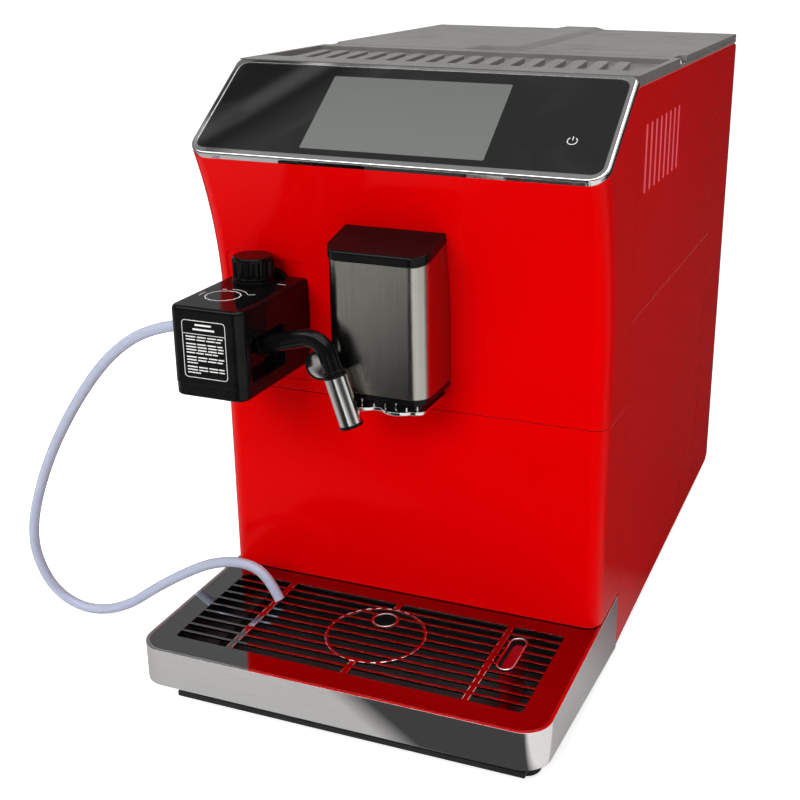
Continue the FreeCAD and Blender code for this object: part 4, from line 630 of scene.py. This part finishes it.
FINISHES = {
    "red_gloss": make_red_gloss(),
    "grey_satin": make_grey_satin(),
    "black_gloss": make_black_gloss(),
    "black_matte": make_black_matte(),
    "chrome_trim": make_metal("chrome_trim", (0.70, 0.70, 0.69), (0.78, 0.78, 0.77), (0.04, 0.10),
                              (40, 40, 1), depth=0.01),
    "tray_mirror": make_metal("tray_mirror", (0.30, 0.30, 0.30), (0.38, 0.38, 0.38), (0.03, 0.08),
                              (60, 1, 1), depth=0.015, corner=0.00008),
    "head_steel": make_metal("head_steel", (0.36, 0.35, 0.31), (0.47, 0.46, 0.42), (0.18, 0.25),
                             (1, 1, 150), across=0.00012, depth=0.12),
    "tip_steel": make_metal("tip_steel", (0.58, 0.57, 0.55), (0.72, 0.71, 0.69), (0.12, 0.2),
                            (1, 1, 30), depth=0.05),
    "panel_black": make_panel_black(),
    "display_grey": make_display_grey(),
    "foot_rubber": make_moulded("foot_rubber", (0.012, 0.012, 0.012), (0.03, 0.03, 0.03), (0.7, 0.9)),
    "hose_silicone": make_hose_silicone(),
    "clear_smoke": make_clear_smoke(),
    "sheet_steel": make_metal("sheet_steel", (0.38, 0.39, 0.40), (0.55, 0.56, 0.57), (0.3, 0.45),
                              (1, 30, 1), across=0.0006, depth=0.1),
    "board_green": make_moulded("board_green", (0.008, 0.07, 0.03), (0.02, 0.12, 0.05), (0.25, 0.4)),
    "burr_steel": make_metal("burr_steel", (0.35, 0.35, 0.35), (0.55, 0.55, 0.55), (0.25, 0.35),
                             (1, 1, 1), depth=0.1),
    "boiler_steel": make_metal("boiler_steel", (0.5, 0.5, 0.49), (0.66, 0.66, 0.65), (0.22, 0.32),
                               (30, 30, 1), depth=0.1),
    "motor_zinc": make_metal("motor_zinc", (0.36, 0.36, 0.37), (0.5, 0.5, 0.51), (0.35, 0.5),
                             (1, 1, 1), across=0.001, depth=0.3),
    "nylon_white": make_moulded("nylon_white", (0.72, 0.72, 0.70), (0.82, 0.82, 0.80), (0.4, 0.55)),
    "float_red": make_moulded("float_red", (0.22, 0.0, 0.004), (0.34, 0.004, 0.01), (0.2, 0.3), depth=0.05),
    "screw_zinc": make_metal("screw_zinc", (0.36, 0.36, 0.35), (0.5, 0.5, 0.48), (0.2, 0.32),
                             (20, 1, 1), depth=0.1),
}

# %% Dress the CAD parts
for subpart in frame["record"]["subparts"]:
    for material_slot in nodes[subpart["node"]].material_slots:
        material_slot.material = FINISHES[subpart["material_slot"]]
hose.data.materials.append(FINISHES["hose_silicone"])
print("finishes:", len(FINISHES))

# %% [markdown]
# ## Printed marks and small fittings
# What is printed on a machine sits a tenth of a millimetre proud of the face, so it is drawn here as
# real, very thin ribbons. A ribbon is a flat bar that follows a line: a straight one is a bar, a
# closed one is a ring or a frame. Text is shown only as plain bars, because this machine is nobody's.


# %% Ribbons, plates and turned pieces
DEPTH_HALF = 297.5
FROTH_FACE_Y = 39.0
FROTH_TOP_Z = 307.4
PANEL_TILT = math.radians(35.9)
PANEL_FOOT = (106.98, 399.71)
GLASS_TOP = -0.5
PRINT_PROUD = 0.12


def row(x, y, z):
    """A place in millimetres, with y from the tray's front edge, in the frame's metres."""
    return Vector((x, y - DEPTH_HALF, z)) * MM


def on_frother_face(u, v, w):
    return row(u, FROTH_FACE_Y - w, v)


def on_frother_top(u, v, w):
    return row(u, v, FROTH_TOP_Z + w)


def on_glass(u, v, w):
    """u across, v up the slope, w out of the touch panel's glass."""
    lift = w + GLASS_TOP
    return row(u, PANEL_FOOT[0] + v * math.cos(PANEL_TILT) - lift * math.sin(PANEL_TILT),
               PANEL_FOOT[1] + v * math.sin(PANEL_TILT) + lift * math.cos(PANEL_TILT))


def ribbon(bm, points, width, closed, place, low=-0.05, high=PRINT_PROUD):
    """A bar of this width along a flat line; low and high are its two faces' heights."""
    count = len(points)
    stations = []
    for i, (u, v) in enumerate(points):
        before = points[i - 1] if closed or i else points[i]
        after = points[(i + 1) % count] if closed or i + 1 < count else points[i]
        along = Vector((after[0] - before[0], after[1] - before[1])).normalized() * (width / 2)
        left, right = (u - along.y, v + along.x), (u + along.y, v - along.x)
        corners = (left + (low,), right + (low,), right + (high,), left + (high,))
        stations.append([bm.verts.new(place(*corner)) for corner in corners])
    for a, b in zip(stations, stations[1:] + (stations[:1] if closed else [])):
        bridge(bm, a, b)
    if not closed:
        bm.faces.new(stations[0])
        bm.faces.new(stations[-1])


def plate(bm, outline, place, low, high):
    """A flat piece with this outline."""
    rings = [[bm.verts.new(place(u, v, w)) for u, v in outline] for w in (low, high)]
    bridge(bm, *rings)
    for ring in rings:
        bm.faces.new(ring)


def arc_points(centre, radius, start, end, steps, wobble=0.0, waves=0):
    """Points on an arc, in degrees; wobble and waves scallop it."""
    points = []
    for i in range(steps + 1):
        turn = math.radians(start + (end - start) * i / steps)
        reach = radius + wobble * math.cos(waves * turn)
        points.append((centre[0] + reach * math.cos(turn), centre[1] + reach * math.sin(turn)))
    return points


def ring_points(centre, radius, steps=48, wobble=0.0, waves=0):
    return arc_points(centre, radius, 0, 360, steps, wobble, waves)[:-1]


def rounded_rectangle(u, v, radius, steps=6):
    """Corner points of a rectangle between two values each way."""
    corners = [((u[1] - radius, v[1] - radius), 0), ((u[0] + radius, v[1] - radius), 90),
               ((u[0] + radius, v[0] + radius), 180), ((u[1] - radius, v[0] + radius), 270)]
    return [point for centre, start in corners
            for point in arc_points(centre, radius, start, start + 90, steps)]


def turned(bm, profile, centre, steps=32):
    """A solid turned about an upright line; profile is (radius, height) from bottom to top, in mm."""
    rings = [[bm.verts.new(row(u, v, height)) for u, v in ring_points(centre, radius, steps)]
             for radius, height in profile]
    for a, b in zip(rings, rings[1:]):
        bridge(bm, a, b)
    bm.faces.new(rings[0])
    bm.faces.new(rings[-1])


def fit_out(name, make, body, slot):
    """Makes a small piece, gives it its finish and lets it ride its body."""
    piece = smooth(mesh_from(name, make))
    piece.data.materials.append(FINISHES[slot])
    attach(piece, body)
    return piece


# %% The frother's label
LABEL_X = (-121.0, -87.5)
LABEL_Z = (257.5, 298.5)
LABEL_DIVIDER = 289.0
LINE_PITCH = 2.12
LINE_HEIGHT = 0.85
LINE_LEFT = -118.6
WORD_STOPS = (0.0, 0.27, 0.31, 0.55, 0.59, 0.82, 0.85, 1.0)
HEADINGS = ((-104.4, 6.4, 295.6), (-104.2, 8.4, 292.4))
PARAGRAPHS = (((29.0, 27.5), 286.9), ((28.6, 29.2, 29.0, 24.5), 281.7), ((29.2, 28.0, 8.4), 272.3),
              ((29.0, 29.2, 10.2), 265.2))


def draw_label(bm):
    ribbon(bm, rounded_rectangle(LABEL_X, LABEL_Z, 2.4), 0.45, True, on_frother_face)
    ribbon(bm, [(LABEL_X[0] + 0.3, LABEL_DIVIDER), (LABEL_X[1] - 0.3, LABEL_DIVIDER)], 0.4, False,
           on_frother_face)
    for middle, half, height in HEADINGS:
        ribbon(bm, [(middle - half, height), (middle + half, height)], 1.3, False, on_frother_face)
    for lengths, top in PARAGRAPHS:
        for i, length in enumerate(lengths):
            height = top - i * LINE_PITCH
            for start, end in zip(WORD_STOPS[::2], WORD_STOPS[1::2]):
                word = [(LINE_LEFT + start * length, height), (LINE_LEFT + end * length, height)]
                ribbon(bm, word, LINE_HEIGHT, False, on_frother_face)


label = fit_out("frother_label", draw_label, "frother", "nylon_white")
print("label faces:", len(label.data.polygons))

# %% The dial marks on the frother's top
DIAL_CENTRE = (-108.0, 72.0)


def draw_dial(bm):
    ribbon(bm, ring_points(DIAL_CENTRE, 12.3, 84, 0.35, 14), 0.75, True, on_frother_top)
    ribbon(bm, arc_points(DIAL_CENTRE, 16.8, 196, 168, 8), 0.6, False, on_frother_top)
    ribbon(bm, arc_points(DIAL_CENTRE, 16.8, 122, 112, 4), 0.9, False, on_frother_top)
    ribbon(bm, arc_points(DIAL_CENTRE, 16.8, 98, 32, 16), 0.5, False, on_frother_top)
    ribbon(bm, [(-92.8, 80.4), (-88.6, 82.6)], 0.5, False, on_frother_top)
    ribbon(bm, [(-87.5, 112.6), (-80.8, 112.6)], 0.7, False, on_frother_top)


dial = fit_out("frother_dial_marks", draw_dial, "frother", "nylon_white")
print("dial mark faces:", len(dial.data.polygons))

# %% The display's window and the power mark
WINDOW_X = (-68.0, 68.0)
WINDOW_V = (12.0, 85.0)
POWER_CENTRE = (123.0, 35.0)


def draw_window(bm):
    plate(bm, rounded_rectangle(WINDOW_X, WINDOW_V, 1.2), on_glass, 0.01, 0.05)


def draw_power_mark(bm):
    ribbon(bm, arc_points(POWER_CENTRE, 3.3, 125, 415, 28), 0.65, False, on_glass, 0.01, 0.08)
    ribbon(bm, [(POWER_CENTRE[0], POWER_CENTRE[1] + 0.6), (POWER_CENTRE[0], POWER_CENTRE[1] + 4.2)], 0.65,
           False, on_glass, 0.01, 0.08)


fit_out("display_window", draw_window, "cabinet", "display_grey")
power = fit_out("power_mark", draw_power_mark, "cabinet", "nylon_white")
print("power mark faces:", len(power.data.polygons))

# %% [markdown]
# ## The grille's bright lips
# The tray's plate is cut from sheet, and the cut edges are turned up a little. Each small lip catches
# the light between one bar and the next, which draws the ribs and the ring as dashes.

# %% The grille's lips
TRAY_TOP = 58.9
BAR_COUNT = 9
BAR_WIDTH = 2.2
GRILLE_Y = (21.5, 121.0)
BAR_PITCH = (GRILLE_Y[1] - GRILLE_Y[0] - BAR_WIDTH * BAR_COUNT) / (BAR_COUNT + 1) + BAR_WIDTH
RIB_XS = (-90.0, 1.5, 92.0)
RIB_HALF = 2.5
RING_CENTRE = (2.0, 75.0)
RING_RADIUS = 37.5
DRAIN_CENTRE = (0.0, 96.0)
DRAIN_RADIUS = 8.5
FLOAT_X = (98.5, 109.5)
FLOAT_Y = (66.0, 107.0)


def on_plate(u, v, w):
    return row(u, v, TRAY_TOP + w)


def lip(bm, points, closed=False):
    """A low bright bead along a cut edge of the plate."""
    ribbon(bm, points, 0.75, closed, on_plate, -0.2, 0.14)
    ribbon(bm, points, 0.4, closed, on_plate, 0.1, 0.3)


def draw_lips(bm):
    for i in range(BAR_COUNT + 1):
        low = GRILLE_Y[0] + i * BAR_PITCH + 1.2
        high = low + BAR_PITCH - BAR_WIDTH - 2.4
        for x in RIB_XS:
            middle = (low + high) / 2 - RING_CENTRE[1]
            if math.hypot(x - RING_CENTRE[0], middle) < RING_RADIUS:
                continue
            for side in (-1, 1):
                lip(bm, [(x + side * (RIB_HALF - 0.4), low), (x + side * (RIB_HALF - 0.4), high)])
    for start in range(0, 360, 12):
        lip(bm, arc_points(RING_CENTRE, RING_RADIUS - 0.5, start, start + 6.5, 4))
    lip(bm, ring_points(DRAIN_CENTRE, DRAIN_RADIUS + 0.5, 40), closed=True)
    around_x = (FLOAT_X[0] - 0.5, FLOAT_X[1] + 0.5)
    around_y = (FLOAT_Y[0] - 0.5, FLOAT_Y[1] + 0.5)
    lip(bm, rounded_rectangle(around_x, around_y, (around_x[1] - around_x[0]) / 2 - 0.01), closed=True)


grille_lips = fit_out("grille_lips", draw_lips, "tray", "chrome_trim")
print("lip faces:", len(grille_lips.data.polygons))

# %% [markdown]
# ## Small fittings
# A few turned and stamped bits of metal finish the machine: the pad on the spout that a thumb pushes,
# the latches at the deck's edge, and the row of studs over the coffee nozzles.

# %% The thumb pad, the deck's latches and the studs over the nozzles
THUMB_CENTRE = (-40.0, 261.2)
THUMB_FACE_Y = 81.5
HEAD_FOOT_Z = 232.3
STUD_HEIGHT = 2.6
STUD_STEP = 1.2
STUD_PLACES = [(-29, 93.4), (-21, 91.2), (-12, 91.0), (-3, 91.4),
               (6, 91.0), (14, 91.2), (22, 91.4), (29, 93.6)]


def draw_thumb_pad(bm):
    def place(u, v, w):
        return row(u, THUMB_FACE_Y - w, v)
    rings = [[bm.verts.new(place(u, v, w)) for u, v in ring_points(THUMB_CENTRE, radius, 40)]
             for radius, w in ((9.0, -0.05), (9.0, 0.35), (8.5, 0.55))]
    for a, b in zip(rings, rings[1:]):
        bridge(bm, a, b)
    bm.faces.new(rings[0])
    bm.faces.new(rings[-1])


def draw_latches(bm):
    for side in (-1, 1):
        turned(bm, ((2.6, 451.55), (2.6, 455.4), (2.2, 456.2)), (side * 150.4, 330.6))
        turned(bm, ((1.7, 451.55), (1.7, 454.0), (1.3, 454.6)), (side * 150.9, 336.4))


def draw_studs(bm):
    for i, place in enumerate(STUD_PLACES):
        top = HEAD_FOOT_Z + STUD_HEIGHT + STUD_STEP * (i % 3)
        profile = ((0.8, HEAD_FOOT_Z - 0.05), (1.1, HEAD_FOOT_Z + 0.9), (0.6, top - 0.9), (0.9, top))
        turned(bm, profile, place, 12)


fit_out("spout_thumb_pad", draw_thumb_pad, "spout", "tip_steel")
fit_out("deck_latches", draw_latches, "cabinet", "chrome_trim")
studs = fit_out("dispenser_studs", draw_studs, "dispenser", "chrome_trim")
print("small fittings done, studs:", len(studs.data.polygons), "faces")

# %% [markdown]
# ## The floor
# The machine stands on a plain pale floor that runs out of sight, and glows a little towards the
# camera, so the background is white. Polished things need something darker to mirror as well, and in a
# studio that is card laid round the object. Here Light Path does it: only what reflections see of the
# floor is toned, light in front to the left, dark in front to the right, and grey at the sides. Each
# tone below is (from, to, tone at from, tone at to), in metres and parts of white.

# %% Floor
FLOOR_HALF = 30.0
FLOOR_GLOW = 0.65
FLOOR_PALE = opaque(0.86, 0.86, 0.86)
CARD_START = 0.3
CARD_SLANT = 1.6
CARD_EDGE = (0.075, 0.11, 0.55, 0.06)
CARD_FADE = (-0.62, -0.42, 0.35, 1.0)
CARD_BACK = (0.05, -0.15, 0.06, 1.0)
RIGHT_CARD = (0.165, 0.19, 0.0, 0.85)
RIGHT_BACK = (0.0, -0.12)
FAR_RIGHT = (0.35, 0.55, 0.0, 0.35)
FAR_LEFT = (-0.25, -0.45, 0.0, 0.30)
FAR_BACK = (0.25, 0.0)


def floor_square(bm):
    corners = [bm.verts.new((x, y, 0)) for x, y in ((-1, -1), (1, -1), (1, 1), (-1, 1))]
    for corner in corners:
        corner.co *= FLOOR_HALF
    bm.faces.new(corners)


def make_pale_floor():
    material, tree, shader = start_finish("pale_floor", Roughness=0.9, Specular_IOR_Level=0.0,
                                          Emission_Color=opaque(1.0, 1.0, 1.0))
    rays = add(tree, "LightPath").outputs
    spot = add(tree, "SeparateXYZ", {0: place_of(tree)}).outputs
    slide = calc(tree, "MULTIPLY", calc(tree, "ADD", spot["Y"], CARD_START), CARD_SLANT)
    card = spread(tree, calc(tree, "SUBTRACT", spot["X"], slide), *CARD_EDGE)
    card = calc(tree, "MULTIPLY", card, spread(tree, spot["Y"], *CARD_FADE))
    card = calc(tree, "MULTIPLY", card, spread(tree, spot["Y"], *CARD_BACK))
    right = calc(tree, "MULTIPLY", spread(tree, spot["X"], *RIGHT_CARD), spread(tree, spot["Y"], *RIGHT_BACK))
    beside = calc(tree, "MAXIMUM", spread(tree, spot["X"], *FAR_RIGHT), spread(tree, spot["X"], *FAR_LEFT))
    beside = calc(tree, "MULTIPLY", beside, spread(tree, spot["Y"], *FAR_BACK))
    tone = calc(tree, "MAXIMUM", calc(tree, "MAXIMUM", beside, right), card)
    grey = add(tree, "CombineColor", {"Red": tone, "Green": tone, "Blue": tone}).outputs[0]
    plug(tree, blend_colours(tree, rays["Is Glossy Ray"], FLOOR_PALE, grey), shader["Base Color"])
    plug(tree, calc(tree, "MULTIPLY", rays["Is Camera Ray"], FLOOR_GLOW), shader["Emission Strength"])
    return material


floor = mesh_from("floor", floor_square)
floor.data.materials.append(make_pale_floor())
print("floor:", 2 * FLOOR_HALF, "m square")

# %% [markdown]
# ## The lamps
# Two big soft boxes light the machine, one in front and one above. Polished things show the one
# above. They do not show the one in front, because the tray's plate would throw its image up onto the
# red front as a bright patch.


# %% Soft boxes
def soft_box(name, place, aim, size, power, in_mirrors):
    """A rectangular area light at place, facing aim, that polished things may or may not show."""
    data = bpy.data.lights.new(name, "AREA")
    data.shape = "RECTANGLE"
    data.size, data.size_y = size
    data.energy = power
    box = bpy.data.objects.new(name, data)
    box.location = place
    box.rotation_euler = (Vector(aim) - Vector(place)).to_track_quat("-Z", "Y").to_euler()
    box.visible_glossy = in_mirrors
    bpy.context.scene.collection.objects.link(box)


MIDDLE = (cad_box[0] + cad_box[1]) / 2
soft_box("front_box", (-0.5, -2.6, 1.7), MIDDLE, (1.6, 1.2), 52, False)
soft_box("top_box", (0.75, 0.1, 2.6), MIDDLE, (1.0, 2.0), 22, True)
print("lamps:", [lamp.name for lamp in bpy.data.lights])

# %% [markdown]
# ## The sky
# The sky is an even white to the camera, and a softer white as light. Reflections see a third sky,
# bright low down and dim overhead, like a studio's walls and ceiling. It has a dark part that ends on
# a slanted line with a few narrow streaks beside it, which is what the touch panel's glass shows, and
# a strip lamp high in front, which draws a bright line along rounded edges. The ranges are parts of
# the sky's direction, from -1 to 1, and the same four numbers as for the floor.

# %% Sky
SKY_DIFFUSE = 0.56
SKY_RISE = (0.12, 0.34, 1.0, 0.30)
SKY_SLANT = 1.2
DARK_PART = (-0.665, -0.645, 0.12, 1.0)
BELOW_DARK = (0.76, 0.68, 0.0, 0.7)
SKY_IN_FRONT = (-0.3, 0.1, 0.06, 1.0)
STREAKS = ((-0.690, -0.668, 0.7), (-0.735, -0.722, 0.45), (-0.640, -0.632, 0.2))
STREAKS_FROM = (0.5, 0.6)
STRIP_NEAR = (-0.65, -0.6)
STRIP_FAR = (-0.12, -0.17)
STRIP_ABOVE = (0.62, 0.68, 0.0, 3.4)

world = bpy.data.worlds.new("studio")
world.use_nodes = True
bpy.context.scene.world = world
sky = world.node_tree
rays = add(sky, "LightPath").outputs
heading = add(sky, "SeparateXYZ", {0: add(sky, "TexCoord").outputs["Generated"]}).outputs
slant = calc(sky, "SUBTRACT", heading["X"], calc(sky, "MULTIPLY", heading["Y"], SKY_SLANT))
shade = calc(sky, "MAXIMUM", spread(sky, slant, *DARK_PART), spread(sky, heading["Z"], *BELOW_DARK))
mirrored = calc(sky, "MULTIPLY", spread(sky, heading["Z"], *SKY_RISE), shade)
for low, high, strength in STREAKS:
    edge = (high - low) / 3
    streak = calc(sky, "MULTIPLY", spread(sky, slant, low, low + edge),
                  spread(sky, slant, high, high - edge))
    overhead = spread(sky, heading["Z"], *STREAKS_FROM, 0.0, strength)
    mirrored = calc(sky, "ADD", mirrored, calc(sky, "MULTIPLY", streak, overhead))
mirrored = calc(sky, "MULTIPLY", mirrored, spread(sky, heading["Y"], *SKY_IN_FRONT))
strip = calc(sky, "MULTIPLY", spread(sky, heading["Y"], *STRIP_NEAR), spread(sky, heading["Y"], *STRIP_FAR))
strip = calc(sky, "MULTIPLY", strip, spread(sky, heading["Z"], *STRIP_ABOVE))
mirrored = calc(sky, "ADD", mirrored, strip)
plain = spread(sky, rays["Is Camera Ray"], 0.0, 1.0, SKY_DIFFUSE, 1.0)
chosen = add(sky, "Mix", {0: rays["Is Glossy Ray"], 2: plain, 3: mirrored}, data_type="FLOAT").outputs[0]
sky.nodes["Background"].inputs["Color"].default_value = opaque(1.0, 1.0, 1.0)
plug(sky, chosen, sky.nodes["Background"].inputs["Strength"])
bpy.context.scene.view_settings.view_transform = "Standard"
print("sky nodes:", len(sky.nodes))
